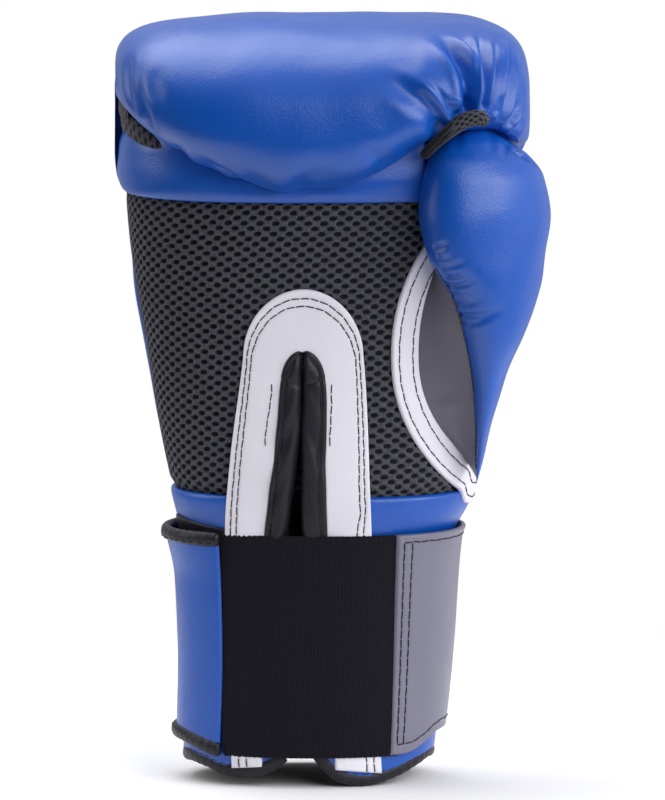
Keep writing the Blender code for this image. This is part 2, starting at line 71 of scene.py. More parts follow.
THUMB = (
    (115, 54.5, 0, -25, -25, 2),
    (124, 55.5, 1.5, -29.5, -20.5, 2),
    (140, 57, 3.5, -37.5, -16, 2),
    (155, 58.5, 6.5, -42.5, -13.5, 2),
    (172, 60.5, 12, -48.5, -11.5, 2),
    (190, 61, 17.5, -53.5, -9, 2),
    (203, 58.5, 22.5, -56, -8, 2.1),
    (218, 57.5, 25, -56.5, -7.5, 2.1),
    (232, 57, 23, -55, -10, 2.1),
    (240, 55, 19, -52, -14, 2.1),
    (246, 53, 13.5, -47, -19.5, 2),
    (249, 53, 9.5, -43, -24, 2),
    (251, 53.5, 5, -38, -28, 2),
    (251.6, 53.5, 0, -33, -33, 2),
)
SEAM_SIDE_Y = 8.0  # seam between palm and back, on the little-finger side
SEAM_THUMB_Y = -21.0  # the same behind the thumb
CUFF_TOP = 110.5
BAND_SEAM = 224.6
THUMB_LEAN = 0.36  # slope of the thumb's front, away from the palm
# holes of the air mesh: spacing, half sizes, power of their outline, and lean of their rows
MESH_ACROSS, MESH_UP = 6.1, 3.96
HOLE_ACROSS, HOLE_UP = 1.5, 0.98
HOLE_POWER = 2.3
MESH_LEAN = 0.15

FIST_CENTRE_X, FIST_HALF_WIDTH, FIST_HALF_DEPTH = -4.0, 78.4, 61.8
FIST_TOP, FIST_FLOOR = 290.6, 221.0
LIP_X, LIP_LOW = -15.0, 227.5  # lowest place of the lip's edge, over the palm
LIP_LEFT, LIP_LEFT_RISE = 67.0, 31.5  # from there to its end over the little finger
LIP_RIGHT, LIP_RIGHT_RISE = 53.0, 22.5  # and to the thumb
# x and height at which the finger compartment stands furthest forward
EQUATOR = (
    (-82.4, 268), (-69, 264), (-57, 258), (-45, 254), (-15, 252), (14, 254), (28, 259), (36, 264),
    (50, 266), (62, 264), (70, 259), (74.4, 256),
)
STRAP_LOW, STRAP_HIGH = 11.5, 96.5
STRAP_LIFT = 2.6
FLOOR_RADIUS = 400


# ------------------------------------------------------------------ curves and surfaces
def spline(knots, values, where, monotone=True):
    """A cubic curve through values at knots, read at where; values may have several columns."""
    knots, values, where = (np.asarray(v, float) for v in (knots, values, where))
    table = values.reshape(len(knots), -1)
    step = np.diff(knots)[:, None]
    slope = np.diff(table, axis=0) / step
    tangent = np.empty_like(table)
    tangent[0], tangent[-1] = slope[0], slope[-1]
    if monotone:
        product, total = slope[:-1] * slope[1:], slope[:-1] + slope[1:]
        safe = np.where(product > 0, total, 1.0)
        tangent[1:-1] = np.where(product > 0, 2 * product / safe, 0.0)
    else:
        tangent[1:-1] = (slope[:-1] * step[1:] + slope[1:] * step[:-1]) / (step[1:] + step[:-1])
    flat = where.ravel()
    i = np.clip(np.searchsorted(knots, flat, side="right") - 1, 0, len(step) - 1)
    t = np.clip((flat - knots[i]) / step[i, 0], 0, 1)[:, None]
    read = (
        table[i] * (2 * t**3 - 3 * t**2 + 1)
        + table[i + 1] * (3 * t**2 - 2 * t**3)
        + tangent[i] * step[i] * (t**3 - 2 * t**2 + t)
        + tangent[i + 1] * step[i] * (t**3 - t**2)
    )
    return read.reshape(where.shape + values.shape[1:])


def smooth(value, low, high):
    t = np.clip((value - low) / (high - low), 0, 1)
    return t * t * (3 - 2 * t)


def lip_height(x):
    """Height of the lip's lower edge."""
    left = np.clip((LIP_X - x) / LIP_LEFT, 0, None)
    right = np.clip((x - LIP_X) / LIP_RIGHT, 0, 1)
    softened = 1.5 * np.exp(-(((x - LIP_X - LIP_RIGHT) / 5) ** 2))
    edge = LIP_LOW + LIP_LEFT_RISE * left**1.7 + LIP_RIGHT_RISE * right**2.2
    return edge - softened - 9 * smooth(x, 58, 76)


def along(points):
    """Length along a path at each of its points."""
    steps = np.linalg.norm(np.diff(points, axis=0), axis=1)
    return np.concatenate(([0.0], np.cumsum(steps)))


def path(points, count):
    """A smooth path through points, read at evenly spaced places."""
    points = np.asarray(points, float)
    fine = spline(along(points), points, np.linspace(0, along(points)[-1], 40 * len(points)), False)
    length = along(fine)
    even = np.linspace(0, length[-1], count)
    return np.stack([np.interp(even, length, column) for column in fine.T], axis=1)


def section(stations, z):
    table = np.asarray(stations, float)
    return np.moveaxis(spline(table[:, 0], table[:, 1:], np.asarray(z, float)), -1, 0)


def signed(value, exponent):
    return np.sign(value) * np.abs(value) ** exponent


def wall(angle, z, lift=0.0, stations=HAND):
    """Points at an angle round the wall and a height, lifted outwards."""
    centre, half, palm, back, square = section(stations, z)
    middle, depth = (palm + back) / 2, (back - palm) / 2
    x = centre + np.maximum(half + lift, 0) * signed(np.sin(angle), 2 / square)
    y = middle - np.maximum(depth + lift, 0) * signed(np.cos(angle), 2 / square)
    if stations is THUMB:  # its front faces a little away from the palm
        y = y + THUMB_LEAN * smooth(z, 150, 205) * (x - centre)
    return np.stack(np.broadcast_arrays(x, y, z), axis=-1)


def palm_angle(x, z, lift=0.0):
    """The angle of the palm point at that x, once it is lifted."""
    centre, half, _, _, square = section(HAND, z)
    share = np.clip((x - centre) / (half + lift), -0.985, 0.985)
    return np.arcsin(signed(share, square / 2))


def side_angle(y, z, side, stations=HAND):
    """The angle of the point at that y, on the little-finger side (-1) or the thumb side (+1)."""
    _, _, palm, back, square = section(stations, z)
    share = (y - (palm + back) / 2) / ((back - palm) / 2)
    return side * np.arccos(-signed(np.clip(share, -1, 1), square / 2))


def even_angles(z, start, end, count):
    """Angles evenly spaced along the wall between start and end at each height, and their lengths."""
    fine = start[:, None] + (end - start)[:, None] * np.linspace(0, 1, 360)[None, :]
    points = wall(fine, np.repeat(z[:, None], 360, axis=1))
    steps = np.linalg.norm(np.diff(points, axis=1), axis=2)
    length = np.concatenate([np.zeros((len(z), 1)), np.cumsum(steps, axis=1)], axis=1)
    angles, places = [], []
    for row in range(len(z)):
        even = np.linspace(0, length[row, -1], count)
        angles.append(np.interp(even, length[row], fine[row]))
        order = np.argsort(fine[row])
        zero = np.interp(0.0, fine[row][order], length[row][order])
        places.append(even - zero)
    return np.array(angles), np.array(places)


def bowed(start, end, bow):
    """A line between two places, (x, height) or (x, y, height), whose middle lies to its right by bow."""
    start, end = np.array(start, float), np.array(end, float)
    run = end - start
    aside = np.zeros_like(run)
    aside[0], aside[-1] = run[-1], -run[0]
    aside *= bow / np.linalg.norm(aside)
    places = [start + t * run + 4 * t * (1 - t) * aside for t in np.linspace(0, 1, 5)]
    return [tuple(p) if len(p) == 3 else (p[0], None, p[1]) for p in places]


def arch(left, centre, spring, half, rise, right):
    """An inverted U of (x, height): two legs, joined by half an ellipse that springs from a height."""
    turn = np.linspace(0, math.pi, 15)
    crown = np.stack([centre - half * np.cos(turn), spring + rise * np.sin(turn)], axis=1)
    return np.concatenate([left, crown, right])


def rounded(distance, radius):
    """Height, as a share, of a rounded edge at a distance from it."""
    t = np.clip(distance / radius, 0, 1)
    return np.sqrt(np.clip(1 - (1 - t) ** 2, 0, 1))


def edged(length, step, edge=2.0):
    """Places from 0 to length, close together edge_places both ends."""
    edge_places = np.array([0, 0.08, 0.25, 0.5, 0.8, 1.2, 1.6]) * edge / 2
    edge_places = edge_places[edge_places < length / 2]
    inner = length - 2 * edge_places[-1]
    count = max(2, int(round(inner / step)))
    middle = edge_places[-1] + inner * np.arange(1, count) / count
    return np.concatenate([edge_places, middle, length - edge_places[::-1]])


# ------------------------------------------------------------------ meshes
def mesh_object(name, points, quads, others=(), finish=None, attributes=None):
    """A closed or open mesh from points in millimetres, with its normals turned outwards."""
    mesh = bpy.data.meshes.new(name)
    quads = np.asarray(quads, np.int32).reshape(-1, 4)
    sizes = [4] * len(quads) + [len(face) for face in others]
    loops = np.concatenate([quads.ravel(), np.array([i for face in others for i in face], np.int32)])
    mesh.vertices.add(len(points))
    mesh.vertices.foreach_set("co", (np.asarray(points, float) * MM).astype(np.float32).ravel())
    mesh.loops.add(len(loops))
    mesh.loops.foreach_set("vertex_index", loops.astype(np.int32))
    mesh.polygons.add(len(sizes))
    starts = np.concatenate(([0], np.cumsum(sizes)[:-1]))
    mesh.polygons.foreach_set("loop_start", starts.astype(np.int32))
    mesh.polygons.foreach_set("loop_total", np.array(sizes, np.int32))
    mesh.update(calc_edges=True)
    mesh.validate()
    work = bmesh.new()
    work.from_mesh(mesh)
    bmesh.ops.recalc_face_normals(work, faces=work.faces)
    work.to_mesh(mesh)
    work.free()
    mesh.shade_smooth()
    for label, values in (attributes or {}).items():
        layer = mesh.attributes.new(label, "FLOAT_VECTOR", "POINT")
        layer.data.foreach_set("vector", np.asarray(values, np.float32).ravel())
    made = bpy.data.objects.new(name, mesh)
    bpy.context.scene.collection.objects.link(made)
    if finish:
        mesh.materials.append(finish)
    return made


def grid_quads(rows, columns, first=0):
    index = first + np.arange(rows * columns).reshape(rows, columns)
    return np.stack([index[:-1, :-1], index[:-1, 1:], index[1:, 1:], index[1:, :-1]], axis=-1).reshape(-1, 4)


def ring_quads(index):
    """Faces between rows of point numbers that run round in closed rings."""
    below, above = index[:-1], index[1:]
    return np.stack([below, np.roll(below, -1, 1), np.roll(above, -1, 1), above], axis=-1).reshape(-1, 4)


def capped_rings(name, rings, ends, finish):
    """A closed mesh from rings of points and the two points that close its ends."""
    rows, count = rings.shape[:2]
    index = np.arange(rows * count).reshape(rows, count)
    fans = []
    for ring, tip in ((index[0], rows * count), (index[-1], rows * count + 1)):
        fans += [(tip, int(a), int(b)) for a, b in zip(ring, np.roll(ring, -1))]
    return mesh_object(name, np.concatenate([rings.reshape(-1, 3), ends]), ring_quads(index), fans, finish)


def border(rows, columns, first=0):
    index = first + np.arange(rows * columns).reshape(rows, columns)
    return np.concatenate([index[0, :-1], index[:-1, -1], index[-1, :0:-1], index[:0:-1, 0]])


def slab(name, outer, inner, finish, weave=None, every=1, inside=None):
    """A closed panel between two grids of points; the inner one may be coarser by a whole number."""
    rows, columns = outer.shape[:2]
    low = inner[::every, ::every]
    count = rows * columns
    points = np.concatenate([outer.reshape(-1, 3), low.reshape(-1, 3)])
    quads = np.concatenate([grid_quads(rows, columns), grid_quads(*low.shape[:2], count)[:, ::-1]])
    rim, back = border(rows, columns), border(*low.shape[:2], count)
    others = []
    for i in range(len(back)):
        span = [rim[(i * every + k) % len(rim)] for k in range(every + 1)]
        others.append(span[::-1] + [back[i], back[(i + 1) % len(back)]])
    attributes = None
    if weave is not None:
        pattern = np.concatenate([weave.reshape(-1, 3), weave[::every, ::every].reshape(-1, 3)])
        attributes = {"weave": pattern}
    made = mesh_object(name, points, quads, others, finish, attributes)
    if inside:
        made.data.materials.append(inside)
        visible = (rows - 1) * (columns - 1)
        hidden = np.arange(len(made.data.polygons)) >= visible
        made.data.polygons.foreach_set("material_index", hidden.astype(np.int32))
    return made


def tube(name, line, radius, finish, sides=12, flat=1.0, up=None):
    """A rod along a line, with a radius at each point; flat squeezes it along the second axis."""
    made = []
    line = np.asarray(line, float)
    count = len(line)
    radius = np.broadcast_to(radius, count)
    tangent = np.gradient(line, axis=0)
    tangent /= np.linalg.norm(tangent, axis=1)[:, None] + 1e-12
    if up is None:
        up = np.tile((0.0, -1.0, 0.0), (count, 1))
    side = np.cross(tangent, up)
    side /= np.linalg.norm(side, axis=1)[:, None] + 1e-12
    lift = np.cross(side, tangent)
    turn = 2 * math.pi * np.arange(sides) / sides
    for k in range(count):
        ring = np.cos(turn)[:, None] * side[k] + flat * np.sin(turn)[:, None] * lift[k]
        made.append(line[k] + radius[k] * ring)
    points = np.concatenate(made)
    index = np.arange(count * sides).reshape(count, sides)
    return mesh_object(name, points, ring_quads(index), [list(index[0][::-1]), list(index[-1])], finish)


def near(points, line):
    """Distance of each point to a polyline, the side it is on as seen from the palm, and its place 0 to 1."""
    best = np.full(len(points), 1e9)
    side, place = np.zeros(len(points)), np.zeros(len(points))
    length = along(line)
    for k in range(len(line) - 1):
        start, step = line[k], line[k + 1] - line[k]
        t = np.clip((points - start) @ step / (step @ step), 0, 1)
        offset = points - (start + t[:, None] * step)
        distance = np.linalg.norm(offset, axis=1)
        closer = distance < best
        best = np.where(closer, distance, best)
        turn = offset[:, 0] * step[2] - offset[:, 2] * step[0]
        side = np.where(closer, np.sign(turn), side)
        place = np.where(closer, (length[k] + t * (length[k + 1] - length[k])) / length[-1], place)
    return best, side, place


def coordinates(made):
    count = len(made.data.vertices)
    points, normals = np.empty(count * 3, np.float32), np.empty(count * 3, np.float32)
    made.data.vertices.foreach_get("co", points)
    made.data.vertices.foreach_get("normal", normals)
    return points.reshape(-1, 3).astype(float) / MM, normals.reshape(-1, 3).astype(float)


def set_coordinates(made, points):
    made.data.vertices.foreach_set("co", (points * MM).astype(np.float32).ravel())
    made.data.update()


def snap(points, normals, guess):
    """The surface point nearest to a guess; without a y it is the nearest one that faces the palm side."""
    if guess[1] is None:
        cost = (points[:, 0] - guess[0]) ** 2 + (points[:, 2] - guess[2]) ** 2
        cost = np.where(normals[:, 1] < -0.05, cost, 1e9)
    else:
        cost = ((points - np.array(guess, float)) ** 2).sum(axis=1)
    return points[np.argmin(cost)]


def waves(points, size, seed):
    """A soft, repeatable unevenness from -1 to 1 over a surface."""
    draw = np.random.default_rng(seed)
    total = np.zeros(len(points))
    for _ in range(14):
        direction = draw.normal(size=3)
        direction /= np.linalg.norm(direction)
        stretch = size * draw.uniform(0.7, 1.5)
        total += np.sin(points @ direction * 2 * math.pi / stretch + draw.uniform(0, 6.28))
    return total / 5


# ------------------------------------------------------------------ materials
class Nodes:
    """Short calls for the nodes of one material."""

    def __init__(self, name):
        self.material = bpy.data.materials.new(name)
        self.material.use_nodes = True
        self.tree = self.material.node_tree
        self.shader = self.tree.nodes["Principled BSDF"]

    def add(self, kind, **settings):
        node = self.tree.nodes.new(kind)
        for key, value in settings.items():
            if key in node.inputs:
                node.inputs[key].default_value = value
            else:
                setattr(node, key, value)
        return node

    def link(self, output, node, socket):
        self.tree.links.new(output, node.inputs[socket])

    def place(self):
        return self.add("ShaderNodeTexCoord").outputs["Object"]

    def weave(self):
        split = self.add("ShaderNodeSeparateXYZ")
        self.link(self.add("ShaderNodeAttribute", attribute_name="weave").outputs["Vector"], split, 0)
        return split.outputs

    def maths(self, operation, first, second=None, third=None):
        node = self.add("ShaderNodeMath", operation=operation)
        for i, value in enumerate((first, second, third)):
            if value is None:
                continue
            if isinstance(value, (int, float)):
                node.inputs[i].default_value = value
            else:
                self.tree.links.new(value, node.inputs[i])
        return node.outputs[0]

    def noise(self, scale, detail=2.0, where=None, roughness=0.5):
        node = self.add("ShaderNodeTexNoise", Scale=scale, Detail=detail, Roughness=roughness)
        self.link(where or self.place(), node, "Vector")
        return node.outputs["Fac"]

    def cells(self, scale, where=None, feature="F1"):
        node = self.add("ShaderNodeTexVoronoi", Scale=scale, feature=feature)
        self.link(where or self.place(), node, "Vector")
        return node.outputs["Distance"]

    def mixed(self, share, first, second):
        node = self.add("ShaderNodeMix", data_type="RGBA")
        self.tree.links.new(share, node.inputs[0])
        node.inputs[6].default_value = (*first, 1)
        node.inputs[7].default_value = (*second, 1)
        return node.outputs[2]

    def spread(self, value, low, high, to_low=0.0, to_high=1.0):
        node = self.add("ShaderNodeMapRange")
        self.tree.links.new(value, node.inputs[0])
        for i, number in enumerate((low, high, to_low, to_high)):
            node.inputs[i + 1].default_value = number
        return node.outputs[0]

    def bump(self, height, distance, strength=1.0, before=None):
        node = self.add("ShaderNodeBump", Distance=distance, Strength=strength)
        self.link(height, node, "Height")
        if before:
            self.link(before, node, "Normal")
        return node.outputs[0]

    def set(self, **values):
        for key, value in values.items():
            socket = self.shader.inputs[key.replace("_", " ")]
            if isinstance(value, bpy.types.NodeSocket):
                self.tree.links.new(value, socket)
            else:
                socket.default_value = value
        return self.material


def leather(name, deep, light, roughness, gloss=0.5, grain=1.0):
    """Coated leather: fine pebble grain, faint pores, and a colour that drifts a little."""
    n = Nodes(name)
    drift = n.spread(n.noise(14, 3), 0.3, 0.7)
    pebble = n.cells(1250)
    pores = n.noise(2600, 2)
    folds = n.noise(210, 4, roughness=0.62)
    height = n.maths("ADD", n.maths("MULTIPLY", pebble, 0.8), n.maths("MULTIPLY", pores, 0.5))
    fine = n.bump(height, 0.00011 * grain, 0.55)
    normal = n.bump(folds, 0.00035 * grain, 0.35, fine)
    rough = n.spread(n.noise(60, 3), 0.25, 0.75, roughness - 0.04, roughness + 0.05)
    return n.set(
        Base_Color=n.mixed(drift, deep, light), Roughness=rough, Normal=normal, Specular_IOR_Level=gloss
    )


def air_mesh(name):
    """Spacer mesh: rows of oval holes, half a hole out of step, in a matt knitted yarn, turned to the
    near-black hole colour by painted shade where the weave's third value asks for it.
    """
    n = Nodes(name)
    s, z, painted_shade = n.weave()
    leaning = n.maths("ADD", s, n.maths("MULTIPLY", z, -MESH_LEAN))
    u, v = n.maths("DIVIDE", leaning, MESH_ACROSS), n.maths("DIVIDE", z, MESH_UP)
    nearest = None
    for shift in (0.0, 0.5):
        du = n.maths("SUBTRACT", n.maths("FRACT", n.maths("ADD", u, shift)), 0.5)
        dv = n.maths("SUBTRACT", n.maths("FRACT", n.maths("ADD", v, shift)), 0.5)
        du = n.maths("ABSOLUTE", n.maths("MULTIPLY", du, MESH_ACROSS / HOLE_ACROSS))
        dv = n.maths("ABSOLUTE", n.maths("MULTIPLY", dv, MESH_UP / HOLE_UP))
        du, dv = n.maths("POWER", du, HOLE_POWER), n.maths("POWER", dv, HOLE_POWER)
        total = n.maths("ADD", du, dv)
        nearest = total if nearest is None else n.maths("MINIMUM", nearest, total)
    fibre = n.noise(1900, 4, roughness=0.7)
    edge = n.maths("ADD", nearest, n.maths("MULTIPLY", n.maths("SUBTRACT", fibre, 0.5), 0.9))
    yarn = n.spread(edge, 0.62, 1.25)
    # the weave's third value is painted shade: it turns the yarn to the near-black hole colour
    lit = n.maths("MULTIPLY", yarn, n.maths("SUBTRACT", 1.0, painted_shade))
    knit = n.noise(1300, 3)
    colour = n.mixed(n.spread(knit, 0.3, 0.7), (0.036, 0.036, 0.048), (0.078, 0.078, 0.098))
    hole = n.add("ShaderNodeMix", data_type="RGBA")
    n.tree.links.new(lit, hole.inputs[0])
    hole.inputs[6].default_value = (0.004, 0.004, 0.006, 1)
    n.tree.links.new(colour, hole.inputs[7])
    height = n.maths("ADD", yarn, n.maths("MULTIPLY", knit, 0.5))
    return n.set(
        Base_Color=hole.outputs[2], Roughness=0.85, Normal=n.bump(height, 0.00045, 0.8),
        Sheen_Weight=0.12, Sheen_Roughness=0.5, Specular_IOR_Level=0.2,
    )


def ribbed(name):
    """Woven elastic: narrow ribs along the height with a fine twill between them."""
    n = Nodes(name)
    s, z, _ = n.weave()
    rib = n.maths("SINE", n.maths("MULTIPLY", s, 2 * math.pi / 1.15))
    diagonal = n.maths("ADD", z, n.maths("MULTIPLY", s, 0.9))
    twill = n.maths("SINE", n.maths("MULTIPLY", diagonal, 2 * math.pi / 0.72))
    height = n.maths("ADD", n.maths("MULTIPLY", rib, 0.2), n.maths("MULTIPLY", twill, 0.22))
    fuzz = n.noise(2300, 3)
    height = n.maths("ADD", height, n.maths("MULTIPLY", fuzz, 0.5))
    tone = n.maths("ADD", n.maths("MULTIPLY", rib, 0.08), fuzz)
    colour = n.mixed(n.spread(tone, 0.3, 0.85), (0.004, 0.0035, 0.007), (0.011, 0.010, 0.016))
    return n.set(
        Base_Color=colour, Roughness=0.8, Normal=n.bump(height, 0.0002, 0.7), Sheen_Weight=0.05,
        Sheen_Roughness=0.4, Specular_IOR_Level=0.12,
    )


def cloth(name, deep, light, scale=1500, roughness=0.9, sheen=0.3):
    """Plain knitted lining."""
    n = Nodes(name)
    fuzz, patch = n.noise(scale, 3), n.noise(40, 2)
    tone = n.maths("ADD", n.maths("MULTIPLY", fuzz, 0.7), n.maths("MULTIPLY", patch, 0.3))
    return n.set(
        Base_Color=n.mixed(n.spread(tone, 0.35, 0.65), deep, light), Roughness=roughness,
        Normal=n.bump(fuzz, 0.0003, 0.7), Sheen_Weight=sheen, Specular_IOR_Level=0.2,
    )


BLUE = leather("blue_leather", (0.0002, 0.064, 0.375), (0.001, 0.080, 0.43), 0.36, 0.6)
GREY = leather("grey_leather", (0.088, 0.083, 0.116), (0.112, 0.107, 0.144), 0.40)
TAB_GREY = leather("light_grey_leather", (0.147, 0.143, 0.195), (0.174, 0.169, 0.227), 0.38)
WHITE = leather("white_leather", (0.70, 0.68, 0.75), (0.77, 0.75, 0.81), 0.45, grain=0.7)
BLACK = leather("black_binding", (0.008, 0.0075, 0.012), (0.015, 0.014, 0.021), 0.42, 0.28, 1.4)
MESH = air_mesh("air_mesh_fabric")
ELASTIC = ribbed("woven_elastic")
LINING = cloth("black_lining", (0.008, 0.008, 0.009), (0.02, 0.02, 0.022))
HOOK = cloth("hook_and_loop", (0.010, 0.010, 0.013), (0.035, 0.035, 0.042), 2600, sheen=0.6)
THREAD = cloth("black_thread", (0.006, 0.006, 0.009), (0.022, 0.021, 0.03), 5200, 0.6, 0.1)


# ------------------------------------------------------------------ sewing
STITCHES = {}  # points and faces of the stitches of each body


def sew(group, points, outwards, pitch=3.7, length=3.45, radius=0.23, wobble=0.2):
    """Adds a row of stitches along points on a surface."""
    total = along(points)
    lines = STITCHES.setdefault(group, [])
    count = max(1, int(round(total[-1] / pitch)))
    length *= total[-1] / count / pitch
    pitch = total[-1] / count
    for k in range(count):
        at = (k + 0.5) * pitch + length * np.array((-0.5, -0.42, 0, 0.42, 0.5))
        place = np.stack([np.interp(at, total, c) for c in points.T], axis=1)
        up = np.stack([np.interp(at, total, c) for c in outwards.T], axis=1)
        up /= np.linalg.norm(up, axis=1)[:, None]
        step = place[-1] - place[0]
        side = np.cross(step / (np.linalg.norm(step) + 1e-9), up[2])
        lean = wobble * (1 if k % 2 else -1)
        place = place + np.linspace(-lean, lean, 5)[:, None] * side
        place = place + (np.array([-0.28, 0.08, 0.15, 0.08, -0.28]))[:, None] * up
        lines.append((place, up, radius))


def sew_on(group, angle, z, lift, pitch=3.7, length=3.45, radius=0.23):
    """A row of stitches on the wall of the hand, along angles and heights."""
    low, high = wall(angle, z, lift), wall(angle, z, lift + 1.0)
    sew(group, low, high - low, pitch, length, radius)


def finish_stitches():
    """One mesh of thread for each group."""
    sides = 6
    turn = 2 * math.pi * np.arange(sides) / sides
    made = {}
    for group, lines in STITCHES.items():
        points, quads, others = [], [], []
        first = 0
        for place, up, radius in lines:
            step = np.gradient(place, axis=0)
            side = np.cross(step, up)
            side /= np.linalg.norm(side, axis=1)[:, None] + 1e-9
            for k in range(5):
                ring = np.cos(turn)[:, None] * side[k] + np.sin(turn)[:, None] * up[k]
                points.append(place[k] + radius * (0.7 if k in (0, 4) else 1.0) * ring)
            index = first + np.arange(5 * sides).reshape(5, sides)
            quads.append(ring_quads(index))
            others += [list(index[0][::-1]), list(index[-1])]
            first += 5 * sides
        points, quads = np.concatenate(points), np.concatenate(quads)
        made[group] = mesh_object(f"stitching_{group}", points, quads, others, THREAD)
    return made


def hinge_blend(made):
    """Bakes the piece's transform into its mesh."""
    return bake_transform(made)


# ------------------------------------------------------------------ palm
# white arc round the thumb web: where each edge reaches furthest over the palm, and where its ends lie
WEB_Z = 165
WEB_OUTER = dict(x=22, top=212, top_flare=16, foot=112, foot_flare=25)
WEB_INNER = dict(x=32, top=205.5, top_flare=10.5, foot=123.5, foot_flare=19)
# white U round the wrist slit, and the slit in it
SLIT_X = -11
SLIT_POINT = 167
U_SPRING, U_HALF, U_RISE = 165, 22.5, 26
SLIT_SPRING, SLIT_HALF = 154, 8


def web_edge(z, x, top, top_flare, foot, foot_flare):
    up = np.clip((z - WEB_Z) / (top - WEB_Z), 0, None)
    down = np.clip((WEB_Z - z) / (WEB_Z - foot), 0, None)
    return x + top_flare * up**2.2 + foot_flare * down**2.2


def web_line(edge):
    z = np.linspace(edge["top"], edge["foot"], 30)
    return np.stack([web_edge(z, **edge), z], axis=1)


def slit_line(z):
    """x of the middle of the slit."""
    return SLIT_X - 3 * smooth(SLIT_POINT - z, 0, 68)


def to_angles(points):
    points = np.asarray(points, float)
    return np.stack([palm_angle(points[:, 0], points[:, 1]), points[:, 1]], axis=1)


def strip_width(outer, inner):
    """Width of a strip between two paths of (angle, height), at each of their points."""
    return np.linalg.norm(wall(outer[:, 0], outer[:, 1]) - wall(inner[:, 0], inner[:, 1]), axis=1)


def sew_lines(outer, inner, lines, lift):
    """Rows of stitches on the hand, at distances in from a strip's outer edge."""
    for line in lines:
        t = (line / strip_width(outer, inner))[:, None]
        row = outer * (1 - t) + inner * t
        sew_on("hand", row[:, 0], row[:, 1], lift)


def ribbon(name, outer, inner, finish, columns, lift):
    """A sewn strip between two paths of (angle, height).

    Lift takes the distances from both edges and the length along the strip.
    """
    width = strip_width(outer, inner)
    shares = edged(1.0, 1.0 / columns, 0.12)
    t = shares[None, :, None]
    place = outer[:, None, :] * (1 - t) + inner[:, None, :] * t
    from_outer = shares[None, :] * width[:, None]
    from_inner = width[:, None] - from_outer
    length = along(wall(outer[:, 0], outer[:, 1]))[:, None] + 0 * from_outer
    heights = lift(from_outer, from_inner, length)
    top = wall(place[..., 0], place[..., 1], heights)
    low = wall(place[..., 0], place[..., 1], np.minimum(heights - 0.12, 0.15))
    weave = np.stack([from_outer, length, 0 * length], axis=-1)
    return slab(name, top, low, finish, weave)


def dimple(distance, depth, width):
    return -depth * np.exp(-((distance / width) ** 2))


